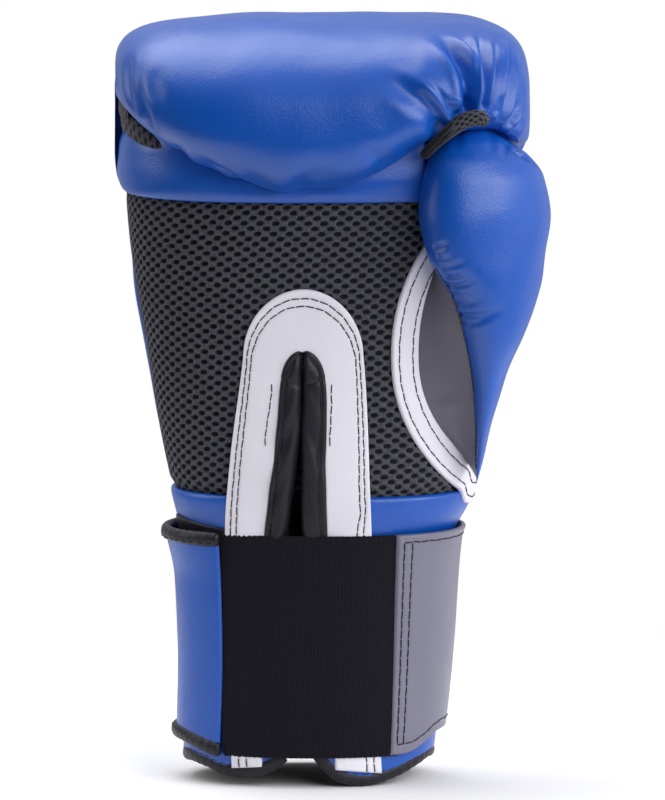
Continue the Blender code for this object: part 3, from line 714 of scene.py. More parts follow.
def make_palm():
    # mesh panel, whose holes are real hollows
    rows, columns = 245, 281
    z = np.linspace(CUFF_TOP, 226.2, rows)
    right = web_edge(z, **WEB_OUTER) + 2  # under the arc, and straight up from there
    right = np.where(z > WEB_Z, np.minimum(right, 34.5), right)
    angle, s = even_angles(z, side_angle(SEAM_SIDE_Y, z, -1), palm_angle(right, z), columns)
    heights = np.repeat(z[:, None], columns, axis=1)
    u, v = (s - MESH_LEAN * heights) / MESH_ACROSS, heights / MESH_UP
    holes = []
    for shift in (0.0, 0.5):
        du, dv = (u + shift) % 1 - 0.5, (v + shift) % 1 - 0.5
        du, dv = np.abs(du * MESH_ACROSS / HOLE_ACROSS), np.abs(dv * MESH_UP / HOLE_UP)
        holes.append(du**HOLE_POWER + dv**HOLE_POWER)
    nearest = np.minimum(*holes)
    hollow = 1 - smooth(nearest, 0.55, 1.5)
    x = wall(angle, heights)[..., 0]
    centre = slit_line(heights)
    # where the slit is, the mesh sinks and, through the weave's third value, is painted near-black: painted
    # shade in the slit's gap
    slit = smooth(-np.abs(x - centre), -6.5, -4.5) * smooth(-heights, -160, -156)
    tuck = 1.5 * (1 - smooth(heights, CUFF_TOP, CUFF_TOP + 5)) + 0.8 * smooth(heights, 219, 225.5)
    soft = 0.5 * np.sin(heights / 17 + 1) * np.sin(s / 21)
    lift = 0.1 - 0.95 * hollow - 6.5 * slit - tuck + soft
    weave = np.stack([s, heights, slit], axis=-1)
    top = wall(angle, heights, lift)
    low = wall(angle, heights, -1.6 - 6.5 * slit - tuck + soft)
    made = slab("palm_air_mesh", top, low, MESH, weave, every=4)
    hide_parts("palm_mesh_panel", "palm_foam")
    hinge_blend(made)

    # blue band above it, which runs up behind the lip
    rows, columns = 60, 150
    z = BAND_SEAM - 1.0 + edged(36.0, 0.62, 2.0)
    angle, s = even_angles(z, side_angle(SEAM_SIDE_Y, z, -1), palm_angle(33.0 + 0 * z, z), columns)
    heights = np.repeat(z[:, None], columns, axis=1)
    depth = heights - (BAND_SEAM - 1.0)
    lift = 0.2 + 2.0 * rounded(depth, 4.5) + 0.9 * np.exp(-(((depth - 8) / 7) ** 2))
    lift += 0.35 * np.sin(s / 9) * np.exp(-(((depth - 6) / 6) ** 2))
    lift -= 1.9 * smooth(heights, 241, 250) * smooth(-s, 48, 66)
    lift += 0.9 * smooth(heights, 226, 233) * smooth(s, 8, 34)
    top, low = wall(angle, heights, lift), wall(angle, heights, -0.6)
    inwards = np.linspace(0, 1, 24)[None, 1:, None]  # its end turns in behind the thumb
    turn_in = inwards * (-1.5, 34, 0) + np.sqrt(inwards) * (0.6, 0, 0)
    turned = [grid[:, -1:] + turn_in for grid in (top, low - (1.8, 0, 0))]
    top, low = np.concatenate([top, turned[0]], 1), np.concatenate([low, turned[1]], 1)
    made = slab("palm_band_leather", top, low, BLUE)
    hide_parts("palm_band")
    hinge_blend(made)

    # mesh gusset at the end of the lip
    x = np.linspace(-81.8, -62.5, 12)
    edge = lip_height(x)
    upper = path(np.stack([x, edge], axis=1), 60)
    lower = path(np.stack([x, edge - 4 - 5 * np.sqrt(np.linspace(1, 0, 12))], axis=1), 60)
    edge = side_angle(np.linspace(14, -14, 14), np.linspace(259.3, 259, 14), -1)
    start_up = np.stack([edge, np.linspace(259.6, 259, 14)], axis=1)
    start_low = np.stack([edge, np.linspace(252.4, 251.5, 14)], axis=1)
    keep = 8
    upper = np.concatenate([start_up, to_angles(upper)[keep:]])
    lower = np.concatenate([start_low, to_angles(lower)[keep:]])
    upper, lower = path(upper * (30, 1), 90) / (30, 1), path(lower * (30, 1), 90) / (30, 1)

    def puff(a, b, along_it):
        return 1.3 + 0.9 * rounded(np.minimum(a, b), 3.5)

    made = ribbon("side_gusset_mesh", upper, lower, MESH, 14, puff)
    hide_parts("side_mesh_gusset")
    hinge_blend(made)


def make_trims():
    # inverted U round the wrist slit
    u_outer = arch([(-37, 7), (-38.5, 60), (-39, 115)], SLIT_X, U_SPRING, U_HALF, U_RISE,
                   [(13.5, 130), (14, 100), (17.5, 5)])
    left_leg = np.array([(-26, 8), (-24.5, 100), (-21, 130)])
    right_leg = np.array([(-3, 120), (-2.5, 100), (0.5, 7)])
    slit_rise = SLIT_POINT - SLIT_SPRING
    u_inner = arch(left_leg, SLIT_X, SLIT_SPRING, SLIT_HALF, slit_rise, right_leg)
    outer, inner = to_angles(path(u_outer, 420)), to_angles(path(u_inner, 420))
    lines = (3.4, 6.4)

    over_cuff = 1.3 * (1 - smooth(outer[:, 1], 99, 124))[:, None]

    def flat(a, b, along_it):
        height = 0.25 + 1.15 * rounded(a, 0.8) * rounded(b, 0.8) + over_cuff
        height += 0.12 * np.sin(along_it / 9) * np.exp(-((a / 2.5) ** 2))
        for line in lines:
            height += dimple(a - line, 0.22, 0.55)
        return height

    made = ribbon("wrist_trim_leather", outer, inner, WHITE, 34, flat)
    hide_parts("wrist_trim")
    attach(made, "hand")
    sew_lines(outer, inner, lines, 1.25 + over_cuff[:, 0])
    # box of stitches that holds the slit's point
    z = np.linspace(131, 155, 9)
    left = SLIT_X - SLIT_HALF - 6 + 2.5 * smooth(z, 131, 155)
    right = SLIT_X + SLIT_HALF + 1.9 + 0.6 * smooth(z, 131, 148)
    for x in (left, right):
        row = to_angles(path(np.stack([x, z], axis=1), 60))
        sew_on("hand", row[:, 0], row[:, 1], 1.35)

    # the two rolled flaps of the slit, sewn under the U, with free edges that meet at the slit's point
    left_leg, right_leg = left_leg - (0.5, 0), right_leg + (0.5, 0)
    sewn = arch(left_leg, SLIT_X, SLIT_SPRING, SLIT_HALF + 0.6, slit_rise + 1, right_leg)
    sewn[:, 1] = np.maximum(sewn[:, 1], 12)
    top = int(np.argmax(sewn[:, 1]))
    z = np.linspace(SLIT_POINT + 0.4, 12, 14)
    below = SLIT_POINT - z
    s_left = np.stack([SLIT_X - 0.4 - 6.2 * smooth(below, 18, 82), z], axis=1)
    s_right = np.stack([SLIT_X - 0.2 - 0.8 * smooth(below, 0, 36), z], axis=1)
    t_left, t_right = sewn[:top][::-1], sewn[top + 1:]

    def roll(a, b, along_it):
        body = 0.9 + 1.5 * rounded(a, 1.2)
        body += 0.55 * np.exp(-(((a - 4.8) / 2.6) ** 2))
        body += dimple(a - 2.3, 0.45, 0.5)
        turned = 1 - rounded(b, 3.0)
        gather = 0.30 * np.sin(along_it / 4.1 + 0.6 * a) * np.exp(-(((along_it - 42) / 22) ** 2))
        seam = dimple(along_it - 13.5, 0.45, 0.9)
        return body - 3.6 * turned + gather + seam + 0.18 * np.sin(along_it / 2.7 + a)

    for side, edge, middle in (("left", t_left, s_left), ("right", t_right, s_right)):
        outer, inner = to_angles(path(edge, 240)), to_angles(path(middle, 240))
        made = ribbon(f"slit_flap_{side}", outer, inner, BLACK, 22, roll)
        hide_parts(f"slit_binding_{side}")
        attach(made, "hand")
        t = np.clip(2.3 / np.maximum(strip_width(outer, inner), 3), 0, 0.45)[:, None]
        row = (outer * (1 - t) + inner * t)[16:]
        sew_on("hand", row[:, 0], row[:, 1], 2.35, 3.0, 2.5, 0.17)

    # white arc round the thumb web
    outer, inner = to_angles(path(web_line(WEB_OUTER), 200)), to_angles(path(web_line(WEB_INNER), 200))
    outer = np.concatenate([outer, [(1.22, 107.0), (1.40, 105.2), (1.58, 105.4)]])
    inner = np.concatenate([inner, [(1.30, 119.2), (1.44, 117.0), (1.58, 115.0)]])
    outer, inner = path(outer * (40, 1), 260) / (40, 1), path(inner * (40, 1), 260) / (40, 1)
    lines = (2.6, 7.9)

    over_cuff = 1.2 * (1 - smooth(outer[:, 1], 99, 124))[:, None]

    def arc(a, b, along_it):
        height = 0.3 + 1.2 * rounded(a, 0.8) * rounded(b, 0.8) + over_cuff
        for line in lines:
            height += dimple(a - line, 0.22, 0.55)
        return height

    made = ribbon("thumb_arc_leather", outer, inner, WHITE, 26, arc)
    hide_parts("thumb_arc_trim")
    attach(made, "hand")
    sew_lines(outer, inner, lines, 1.35 + over_cuff[:, 0])


def make_gusset():
    """Stretch fabric behind the slit, which lies in loose upright folds."""
    z = np.linspace(15, 168, 150)
    sink = section(HAND, z)[2] + 21
    angle = np.linspace(0, 1, 60)[None, :]
    start, end = (palm_angle(x, z, sink)[:, None] for x in (-27.2, 0.3))
    angle = start + (end - start) * angle
    heights = np.repeat(z[:, None], 60, axis=1)
    s = wall(angle, heights, sink[:, None])[..., 0]
    fold = 0.9 * np.sin(s / 1.7 + heights / 31) + 0.5 * np.sin(s / 0.9 - heights / 17)
    lift = sink[:, None] + fold
    made = slab("slit_gusset_cloth", wall(angle, heights, lift), wall(angle, heights, lift - 1.0), LINING)
    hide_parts("slit_gusset")
    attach(made, "hand")


def make_web():
    """Grey leather between the arc and the thumb."""
    rows, columns = 110, 50
    near_side = path(web_line(WEB_INNER) - (0.9, 0), rows)
    start = wall(palm_angle(near_side[:, 0], near_side[:, 1]), near_side[:, 1], 0.3)
    heights = np.linspace(203, 117.5, rows)
    turn = -np.interp(heights, (118, 150, 180, 203), (0.9, 1.0, 1.1, 1.25))
    end = wall(turn, heights, -0.5, THUMB)
    t = np.linspace(0, 1, columns)[None, :, None]
    points = start[:, None] * (1 - t) + end[:, None] * t
    sag = np.sin(np.pi * t[..., 0]) * (1.5 + 0 * heights[:, None])
    fold = 0.45 * np.sin(t[..., 0] * 9 + heights[:, None] / 16) * smooth(-heights[:, None], -165, -125)
    low = np.exp(-(((heights[:, None] - 137) / 12) ** 2))
    fold = fold + 0.42 * low * np.sin((heights[:, None] - 9 * t[..., 0]) / 1.9) * np.sin(heights[:, None] / 7)
    points[..., 1] += sag + fold * np.sin(np.pi * t[..., 0])
    inner = points + np.array((-0.5, 1.4, 0))
    made = slab("thumb_web_leather", points, inner, GREY)
    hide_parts("thumb_web_panel")
    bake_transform(made)
    row = slice(4, rows - 4)
    outwards = np.tile((-0.5, -0.85, 0.0), (rows - 8, 1))
    sew("thumb", wall(turn, heights, 0.05, THUMB)[row], outwards, 2.6, 2.3, 0.2)


# ------------------------------------------------------------------ back of the hand
def make_back():
    columns = 260
    z = CUFF_TOP + edged(226.0 - CUFF_TOP, 1.05, 3.0)
    start = side_angle(SEAM_SIDE_Y, z, -1)
    end = side_angle(np.interp(z, (110, 116, 127), (4, 3, SEAM_THUMB_Y)), z, 1) - 2 * math.pi
    angle, _ = even_angles(z, start, end, columns)
    heights = np.repeat(z[:, None], columns, axis=1)
    across = np.linspace(0, 1, columns)[None, :]
    edge = np.minimum(across, 1 - across) * 260
    full = 3.2 * np.sin(np.pi * np.clip((heights - CUFF_TOP) / 116, 0, 1)) ** 0.7
    lift = full * np.sin(np.pi * across) ** 0.5
    lift -= 1.6 * (1 - rounded(edge, 5)) + 2.4 * (1 - rounded(heights - CUFF_TOP, 5))
    # two sewn channels across the back
    for level in (146, 186):
        bend = level + 5 * np.cos((across - 0.5) * math.pi)
        lift += dimple(heights - bend, 2.4, 3.4) * smooth(edge, 8, 30)
    points = wall(angle, heights, lift)
    lift = lift + 0.35 * waves(points.reshape(-1, 3), 34, 4).reshape(lift.shape)
    made = slab("back_leather", wall(angle, heights, lift), wall(angle, heights, -2.0 + 0 * lift), BLUE)
    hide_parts("back_shell", "back_foam")
    hinge_blend(made)
    for level in (146, 186):
        keep = slice(16, columns - 16)
        bend = level + 5 * np.cos((across[0, keep] - 0.5) * math.pi)
        row = np.array([np.interp(b, z, angle[:, i]) for b, i in zip(bend, range(columns)[keep])])
        height = np.array([np.interp(b, z, lift[:, i]) for b, i in zip(bend, range(columns)[keep])])
        sew_on("hand", row, bend, height + 0.1, 4.2, 3.4)


# ------------------------------------------------------------------ cuff
def cuff_floor(angle):
    """Height of the cuff's lower edge: two rounded lobes in front, parted at the slit."""
    turn = np.degrees((angle + math.pi) % (2 * math.pi) - math.pi)
    knots = (-180, -100, -72, -55, -38, -24, -14, -8, -4, 2, 8, 16, 27, 42, 60, 78, 105, 180)
    heights = (6.2, 7.6, 9.6, 8.4, 5.8, 6.4, 9.5, 14, 17, 14, 8, 3.6, 2.4, 4.6, 8.4, 10.5, 8.2, 6.2)
    return spline(knots, heights, turn)


def make_cuff():
    columns = 300
    start, end = math.radians(2), math.radians(-12) + 2 * math.pi
    angle = np.linspace(start, end, columns)
    share = edged(1.0, 1 / 70, 0.03)
    low = cuff_floor(angle)
    heights = low[None, :] + (CUFF_TOP + 0.6 - low[None, :]) * share[:, None]
    from_top = CUFF_TOP + 0.6 - heights
    lift = 0.1 + 1.3 * rounded(from_top, 3.2) - 1.0 * (1 - rounded(from_top, 1.2))
    lift = lift + 0.25 * np.sin(heights / 9)
    angles = np.repeat(angle[None, :], len(share), axis=0)
    made = slab("cuff_leather", wall(angles, heights, lift), wall(angles, heights, -1.8 + 0 * lift), BLUE)
    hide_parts("cuff_shell", "cuff_foam")
    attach(made, "hand")

    # foam and lining behind it, which end above the rolled edge
    share = edged(1.0, 1 / 40, 0.03)
    edge = low + 1.8
    heights = edge[None, :] + (CUFF_TOP - edge[None, :]) * share[:, None]
    angles = np.repeat(angle[None, :], len(share), axis=0)
    made = slab("cuff_lining_cloth", wall(angles, heights, -1.7), wall(angles, heights, -6.4), LINING)
    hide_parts("cuff_lining")
    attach(made, "hand")

    # rolled edge round the opening, gathered by its stitches
    count = 620
    angle = np.linspace(start - 0.02, end + 0.02, count)
    line = wall(angle, cuff_floor(angle) + 0.6, -0.2)
    out = wall(angle, cuff_floor(angle), 1.0) - wall(angle, cuff_floor(angle), 0.0)
    out /= np.linalg.norm(out, axis=1)[:, None]
    length = along(line)
    radius = 2.15 + 0.05 * np.sin(length * 2 * math.pi / 3.9) + 0.08 * np.sin(length / 5.3)
    made = tube("cuff_edge_binding", line, radius, BLACK, 20, 1.36, np.tile((0.0, 0.0, 1.0), (count, 1)))
    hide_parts("cuff_binding")
    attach(made, "hand")
    sew("hand", line + 1.75 * out + (0, 0, 1.75), out, 3.9, 3.5, 0.19)


# ------------------------------------------------------------------ wrist strap
def strap_panel(name, z, start, end, columns, lift, finish, thickness=2.0, weave=True):
    angle, s = even_angles(z, start, end, columns)
    heights = np.repeat(z[:, None], columns, axis=1)
    up = lift(s, heights, np.linspace(0, 1, columns)[None, :])
    pattern = np.stack([s, heights, 0 * s], axis=-1)
    top, low = wall(angle, heights, up), wall(angle, heights, np.minimum(up - 0.15, up.max() - thickness))
    return slab(name, top, low, finish, pattern if weave else None)


def flare(angle, z):
    """The strap stands a little off the cuff at its top on the little-finger side."""
    side = smooth(-np.sin(angle), 0.55, 0.95) * smooth(np.cos(angle), -0.5, 0.2)
    return 2.6 * side * smooth(z, 76, 97) + 0.3 * side


def base_low(angle):
    """Lower edge of the strap's base, which climbs on the little-finger side."""
    return STRAP_LOW + 4.5 * smooth(-np.sin(angle), 0.6, 1.0)


def tab_angle(turn, z):
    """Angle of the tab's places, whose front edge stands almost upright."""
    front = palm_angle(np.interp(z, (11, 96), (22.2, 24.6)), z, 4.6)
    return turn + (front - TAB_START) * smooth(-turn, -1.1, -0.5)


TAB_START = float(palm_angle(np.array(23.4), np.array(54.0), 4.6))


def make_strap():
    # elastic across the palm side of the wrist
    z = STRAP_LOW + edged(STRAP_HIGH - STRAP_LOW, 0.9, 1.6)
    start = palm_angle(np.interp(z, (11, 96), (-41.2, -43.2)), z, 3.0)
    end = palm_angle(np.interp(z, (11, 96), (24.4, 26.4)), z, 3.0)

    def elastic(s, heights, share):
        edge = np.minimum(heights - STRAP_LOW, STRAP_HIGH - heights)
        waviness = 0.35 * np.sin(s / 15 + 0.7) + 0.25 * np.sin(heights / 19)
        span = STRAP_LIFT + 1.0 * rounded(edge, 0.9) + waviness
        ribs = 0.03 * np.sin(s * 2 * math.pi / 1.15) * smooth(edge, 0.5, 3)
        scallop = -0.25 * (1 - smooth(edge, 0.3, 1.4)) * (1 + np.sin(s * 2 * math.pi / 1.9))
        return span + ribs + scallop

    made = strap_panel("elastic_webbing", z, start, end, 341, elastic, ELASTIC)
    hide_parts("elastic_band")
    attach(made, "strap")

    # blue base, sewn down from its hinge seam round to the back
    z = np.linspace(0, 1, 60)
    turn_start = palm_angle(np.array(-42.3), np.array(54.0), 4.4)
    turn_end = -math.pi - palm_angle(np.array(-32.0), np.array(54.0)) * 1.0
    turn = np.linspace(float(turn_start), float(turn_end), 170)
    low = base_low(turn) + 2.4
    high = STRAP_HIGH - 2.4 + 0 * turn
    heights = low[None, :] + (high - low)[None, :] * z[:, None]
    angles = np.repeat(turn[None, :], len(z), axis=0)
    reach = along(wall(turn, np.full(170, 54.0)))
    edge = np.minimum(reach, reach[-1] - reach)[None, :]
    lift = STRAP_LIFT + 0.6 + 1.3 * rounded(edge, 0.9) + flare(angles, heights)
    lift += 0.3 * np.sin(reach[None, :] / 8 + heights / 40)
    top = wall(angles, heights, lift)
    inner = wall(angles, heights, lift - 1.6 * rounded(edge, 0.8) - 0.2)
    made = slab("strap_base_leather", top, inner, BLUE, inside=BLACK)
    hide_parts("strap_base")
    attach(made, "hand")
    for name, level, sign in (("top", high, 1), ("bottom", low, -1)):
        count = 260
        fine = np.linspace(float(turn_start) + 0.015, float(turn_end), count)
        z_line = np.interp(-fine, -turn, level) + sign * 0.2
        out = flare(fine, z_line)
        line = wall(fine, z_line, STRAP_LIFT + 1.4 + out)
        length = along(line)
        radius = 2.0 + 0.05 * np.sin(length * 2 * math.pi / 3.9) + 0.07 * np.sin(length / 4.7)
        up = np.tile((0.0, 0.0, 1.0), (count, 1))
        radius = radius * (0.55 + 0.45 * rounded(np.minimum(length, length[-1] - length), 2.0))
        made = tube(f"strap_piping_{name}_roll", line, radius, BLACK, 20, 1.36, up)
        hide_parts(f"strap_piping_{name}")
        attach(made, "hand")
        outwards = wall(fine, z_line, 9.0) - wall(fine, z_line, 8.0)
        seam = line + 1.72 * outwards - np.array((0, 0, sign * 1.5))
        sew("hand", seam[4:-4], outwards[4:-4], 3.9, 2.9, 0.18)

    upper = to_angles(path([(-57.5, 101.2), (-50, 99.6), (-40, 98.2), (-29, 96.4)], 60))
    lower = to_angles(path([(-57.5, 92), (-50, 92), (-40, 92), (-29, 92)], 60))

    def turned_over(a, b, along_it):
        return 1.7 + 0.5 * rounded(a, 0.8)

    made = ribbon("strap_lining_strip", upper, lower, BLACK, 8, turned_over)
    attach(made, "hand")

    for name, ends, levels, lift, owner in (
        ("loop_pile", (28, -30), (19.5, 88.5), 1.75, "hand"),
        ("hook_pile", (24, -3), (23.5, 84.5), 2.85, "tab"),
    ):
        z = np.linspace(*levels, 40)
        start, end = (math.pi - palm_angle(x + 0 * z, z) for x in ends)

        def level(s, heights, share, lift=lift):
            return lift + 0 * s

        made = strap_panel(name, z, start, end, 60, level, HOOK, 1.0)
        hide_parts(name.replace("pile", "patch"))
        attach(made, owner)

    # grey tab, which wraps round to the back and closes there
    turn_start = TAB_START
    turn_end = math.pi - float(palm_angle(np.array(-5.0), np.array(54.0)))
    turn = np.linspace(turn_start, turn_end, 260)
    share = edged(1.0, 1 / 76, 0.03)
    low = STRAP_LOW + 0.4 + 7.5 * smooth(np.sin(turn), 0.62, 0.98) * smooth(turn, 0.5, 1.2)
    at_side = low[np.argmin(abs(turn - QUARTER))]
    behind = np.interp(turn, (QUARTER, 2.1, 3.4), (at_side, 14, 12.5))
    low = np.where(turn > QUARTER, behind, low)
    heights = low[None, :] + (STRAP_HIGH - low)[None, :] * share[:, None]
    angles = tab_angle(np.repeat(turn[None, :], len(share), axis=0), heights)
    reach = along(wall(turn, np.full(260, 54.0)))[None, :] + 0 * heights
    edge = np.minimum(reach, reach[:, -1:] - reach)
    above, below = STRAP_HIGH - heights, heights - low[None, :]
    rim = np.minimum(np.minimum(edge, above), below)
    lift = STRAP_LIFT + 0.3 + 1.9 * rounded(rim, 0.9) + 0.25 * np.sin(reach / 11)
    lift += 0.7 * smooth(reach, 7, 16) * np.exp(-(((heights - 54) / 40) ** 2))
    for line in (2.3, 5.3):
        lift += dimple(reach - line, 0.22, 0.55)
    lift += dimple(above - 3.0, 0.22, 0.6) * smooth(reach, 2, 3)
    lift += dimple(below - 4.2, 0.22, 0.6) * smooth(reach, 2, 3)
    top = wall(angles, heights, lift)
    inner = wall(angles, heights, np.minimum(lift - 0.15, STRAP_LIFT + 0.2))
    made = slab("strap_tab_leather", top, inner, TAB_GREY, inside=BLACK)
    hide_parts("strap_tab")
    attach(made, "tab")
    for line in (2.3, 5.3):
        column = int(np.argmin(abs(reach[0] - line)))
        row = (above[:, column] > 3) & (below[:, column] > 4.2)
        sew_on("tab", angles[row, column], heights[row, column], lift[row, column] + 0.1)
    first = int(np.argmin(abs(reach[0] - 2.4)))
    for target, sign in ((3.0, 1), (4.2, -1)):
        z_line = STRAP_HIGH - target + 0 * turn if sign > 0 else low + target
        t = slice(first, 250)
        row = int(np.argmin(abs((above if sign > 0 else below)[:, 130] - target)))
        sew_on("tab", tab_angle(turn, z_line)[t], z_line[t], lift[row, t] + 0.1)


# ------------------------------------------------------------------ finger compartment
# ridges of the gathered leather fan out from an arc above the thumb to an arc inside the corner; an arc is
# the x and height of its centre, its width and its rise
PLEAT_COUNT = 6
PLEAT_FEET = (54, 247, 14, 13.5)
PLEAT_HEADS = (53, 258, 20, 28)
PLEAT_BOW = 1.5
# crests of the two big folds: start, end, bow, height
CRESTS = (
    ((52.5, 269), (40, 288), 5.5, 1.4),
    ((45, 256), (24, 278), 2.5, 1.6),
)
# hollows that start at the gather: start, end, bow, depth, width
GATHERED_HOLLOWS = (
    ((50, 258), (39, 287), 6, 4.8, 2.5),
    ((42, 254), (18, 274), 2.5, 3.0, 3.4),
    ((47, 258), (44, 265), 0, 2.2, 1.8),
    ((51, 259), (52, 267), 0, 2.2, 1.4),
    ((56, 262), (57, 283), 1, 1.4, 1.5),
    ((62, 259), (64, 265), 0, 1.7, 1.1),
    ((67, 254), (70, 261), 0, 1.5, 1.4),
)
# creases over the little finger and up from the lip, in the same form
CREASES = (
    ((-67, 250), (-74, 275), -1.5, 1.9, 2.6),
    ((-72, 255), (-77, 280), -2.5, 1.7, 2.2),
    ((-66, 262), (-66, 278), -1, 0.7, 3.4),
    ((-80, -18, 262), (-80, -12, 278), -1, 1.0, 1.8),
    ((-54, 236), (-62, 257), 0, 2.0, 2.8),
    ((-46, 236), (-50, 248), -1, 0.8, 3.4),
    ((-30, 230), (-50, 240), 0.5, 1.5, 2.2),
    ((-30, 230), (-36, 242), 1.5, 0.9, 3.2),
    ((-13, 228), (-6, 238), -1.5, 0.9, 2.8),
    ((2, 231), (-8, 240), 1.5, 0.6, 3.4),
    ((21, 239), (9, 247), 1.5, 1.4, 3.4),
    ((29, 243), (15, 252), 1.5, 0.9, 4.0),
)


def on_arc(arc, share):
    """A place on a quarter of an ellipse, from its top to its right end."""
    x, z, wide, rise = arc
    return x + wide * math.sin(share * QUARTER), z + rise * math.cos(share * QUARTER)


def ridges():
    """Points, height and width of the left flank of each ridge, from the gather outwards."""
    for number in range(PLEAT_COUNT):
        share = number / (PLEAT_COUNT - 1)
        foot, head = on_arc(PLEAT_FEET, share), on_arc(PLEAT_HEADS, share)
        over_top = (head[0], -16, head[1] + 3)
        yield bowed(foot, head, PLEAT_BOW) + [over_top], 2.2 - 0.7 * share, 2.3
    for start, end, bow, height in CRESTS:
        yield bowed(start, end, bow), height, 2.9


def fist_sections():
    """Closed rings round the finger compartment, one for each place along its width."""
    turn = np.linspace(-1, 1, 6001)
    share = np.sign(turn) * (1 - (1 - np.abs(turn)) ** 2.2)
    depth = (1 - np.abs(share) ** 3) ** (1 / 3)
    outline = np.stack([FIST_HALF_WIDTH * share, FIST_HALF_DEPTH * depth], axis=1)
    length = along(outline)
    weight = 1 + 1.3 * smooth(outline[:, 0], 34, 50)
    travelled = np.concatenate([[0], np.cumsum(np.diff(length) * weight[1:])])
    rows = 250
    share = np.interp(np.linspace(0, travelled[-1], rows + 2)[1:-1], travelled, share)
    x = FIST_CENTRE_X + FIST_HALF_WIDTH * share
    size = np.abs(share)
    depth = FIST_HALF_DEPTH * (1 - size**3) ** (1 / 3)
    table = np.array(EQUATOR, float)
    middle = spline(table[:, 0], table[:, 1], x)
    corner = np.where(share < 0, 3.5, 4.5)
    end = np.where(share < 0, 268.0, 256.0)
    blend = smooth(size, 0.2, 1.0)
    foot = middle * (1 - blend) + end * blend
    top = foot + (FIST_TOP - foot) * (1 - size**corner) ** (1 / corner)
    wide = (1 - size**12) ** (1 / 12)
    lip = middle - (middle - lip_height(x)) * wide
    under = (1 - size**3.2) ** (1 / 3.2)
    floor = middle - (middle - FIST_FLOOR) * np.where(share < 0, wide, under)
    top = np.maximum(top, middle + 0.02)
    counts = (104, 92, 18, 14, 48, 78)
    rings = []
    for k in range(rows):
        d, m, t, low, ground = depth[k], middle[k], top[k], lip[k], floor[k]
        tuck = -min(33.0, 0.55 * d)
        inside = min(6.0, 0.4 * d) if share[k] < 0 else -min(4.0, 0.3 * d)
        if abs(share[k]) < 0.9 and share[k] < 0:
            inside = 6.0
        if x[k] > 30:
            inside = -4.5 * min(1.0, d / 40)
        q = np.linspace(0, QUARTER, 200)
        parts = [np.stack([-d * np.sin(q) ** (2 / 2.3), m + (t - m) * np.cos(q) ** (2 / 2.3)], 1)]
        out, down = np.cos(q) ** (2 / 2.35), np.sin(q) ** (2 / 2.35)
        parts.append(np.stack([tuck - (d + tuck) * out, m - (m - low) * down], 1))
        fold = (inside - 3 * min(1, d / 40), low + 0.8)
        hidden = np.array([(tuck, low), fold, (inside, low - 1.5), (inside, ground)])
        if x[k] > 30:  # the bay that the thumb lies in
            hidden = np.stack([tuck + (inside - tuck) * np.sin(q), ground + (low - ground) * np.cos(q)], 1)
        parts.append(hidden)
        drop = (m - ground)
        back = np.linspace(ground, m, 160)
        out = d * (1 - np.abs((m - back) / (drop * 1.04)) ** 9) ** (1 / 9)
        parts.append(np.array([(inside, ground), (out[0], ground)]))
        parts.append(np.stack([out, back], 1))
        parts.append(np.stack([d * np.cos(q) ** (2 / 2.6), m + (t - m) * np.sin(q) ** (2 / 2.6)], 1))
        ring = []
        for part, count in zip(parts, counts):
            travelled = along(part)
            even = np.linspace(0, travelled[-1], count + 1)[:-1]
            ring.append(np.stack([np.interp(even, travelled, c) for c in part.T], 1))
        ring = np.concatenate(ring)
        rings.append(np.column_stack([np.full(len(ring), x[k]), ring]))
    return np.array(rings), middle


def make_fist():
    rings, middle = fist_sections()
    rows, count = rings.shape[:2]
    ends = np.array([
        (FIST_CENTRE_X - FIST_HALF_WIDTH, 0, middle[0]), (FIST_CENTRE_X + FIST_HALF_WIDTH, 0, middle[-1]),
    ])
    made = capped_rings("finger_cover", rings, ends, BLUE)
    base, normals = coordinates(made)

    push = 0.45 * waves(base, 46, 11) * smooth(base[:, 2], 226, 240)
    push += 0.12 * waves(base, 19, 5) * smooth(base[:, 2], 226, 240)
    # the lip's edge is uneven
    lip_edge = smooth(-base[:, 2], -246, -229) * smooth(-base[:, 1], 34, 48)
    push += lip_edge * (0.7 * np.sin(base[:, 0] / 5.1) + 0.5 * np.sin(base[:, 0] / 2.9 + 1))
    facing = smooth(-normals[:, 1], -0.05, 0.42)  # the outline stays smooth
    for guesses, height, flank in ridges():
        line = path([snap(base, normals, g) for g in guesses], 40)
        distance, side, place = near(base, line)
        strength = smooth(place, -0.15, 0.12) * (1 - smooth(place, 0.5, 1.0))
        left_flank = np.exp(-((distance / flank) ** 2))
        right_flank = 1.0 - smooth(distance, 0.0, 1.1)
        groove = -0.6 * np.exp(-(((distance - 1.6) / 0.9) ** 2))
        profile = np.where(side <= 0, left_flank, right_flank + groove)
        push += 1.15 * height * strength * profile * facing
    for start, end, bow, depth, width in GATHERED_HOLLOWS + CREASES:
        line = path([snap(base, normals, g) for g in bowed(start, end, bow)], 40)
        distance, side, place = near(base, line)
        strength = 1 - smooth(place, 0.5, 1.0)
        if start[0] < 30:
            strength = strength * smooth(place, 0.0, 0.3)
        push += -depth * strength * np.exp(-((distance / width) ** 2))
        push += 0.28 * depth * strength * np.exp(-(((distance - 2.1 * width) / (0.9 * width)) ** 2))
    # seam at the knuckle line, on the back
    back_seam = smooth(base[:, 1], 6, 16)
    push -= 1.8 * np.exp(-(((base[:, 2] - 221) / 4.0) ** 2)) * back_seam
    relief = push[:-2].reshape(rows, count)
    for _ in range(2):
        relief[1:-1] = (relief[:-2] + 2 * relief[1:-1] + relief[2:]) / 4
        relief = (np.roll(relief, 1, 1) + 2 * relief + np.roll(relief, -1, 1)) / 4
    push[:-2] = relief.ravel()
    set_coordinates(made, base + normals * push[:, None])
    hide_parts("fist_shell", "fist_foam", "knuckle_pad")
    hinge_blend(made)


# ------------------------------------------------------------------ thumb
CREASE_COUNT = 9  # creases stacked across the bend of the thumb
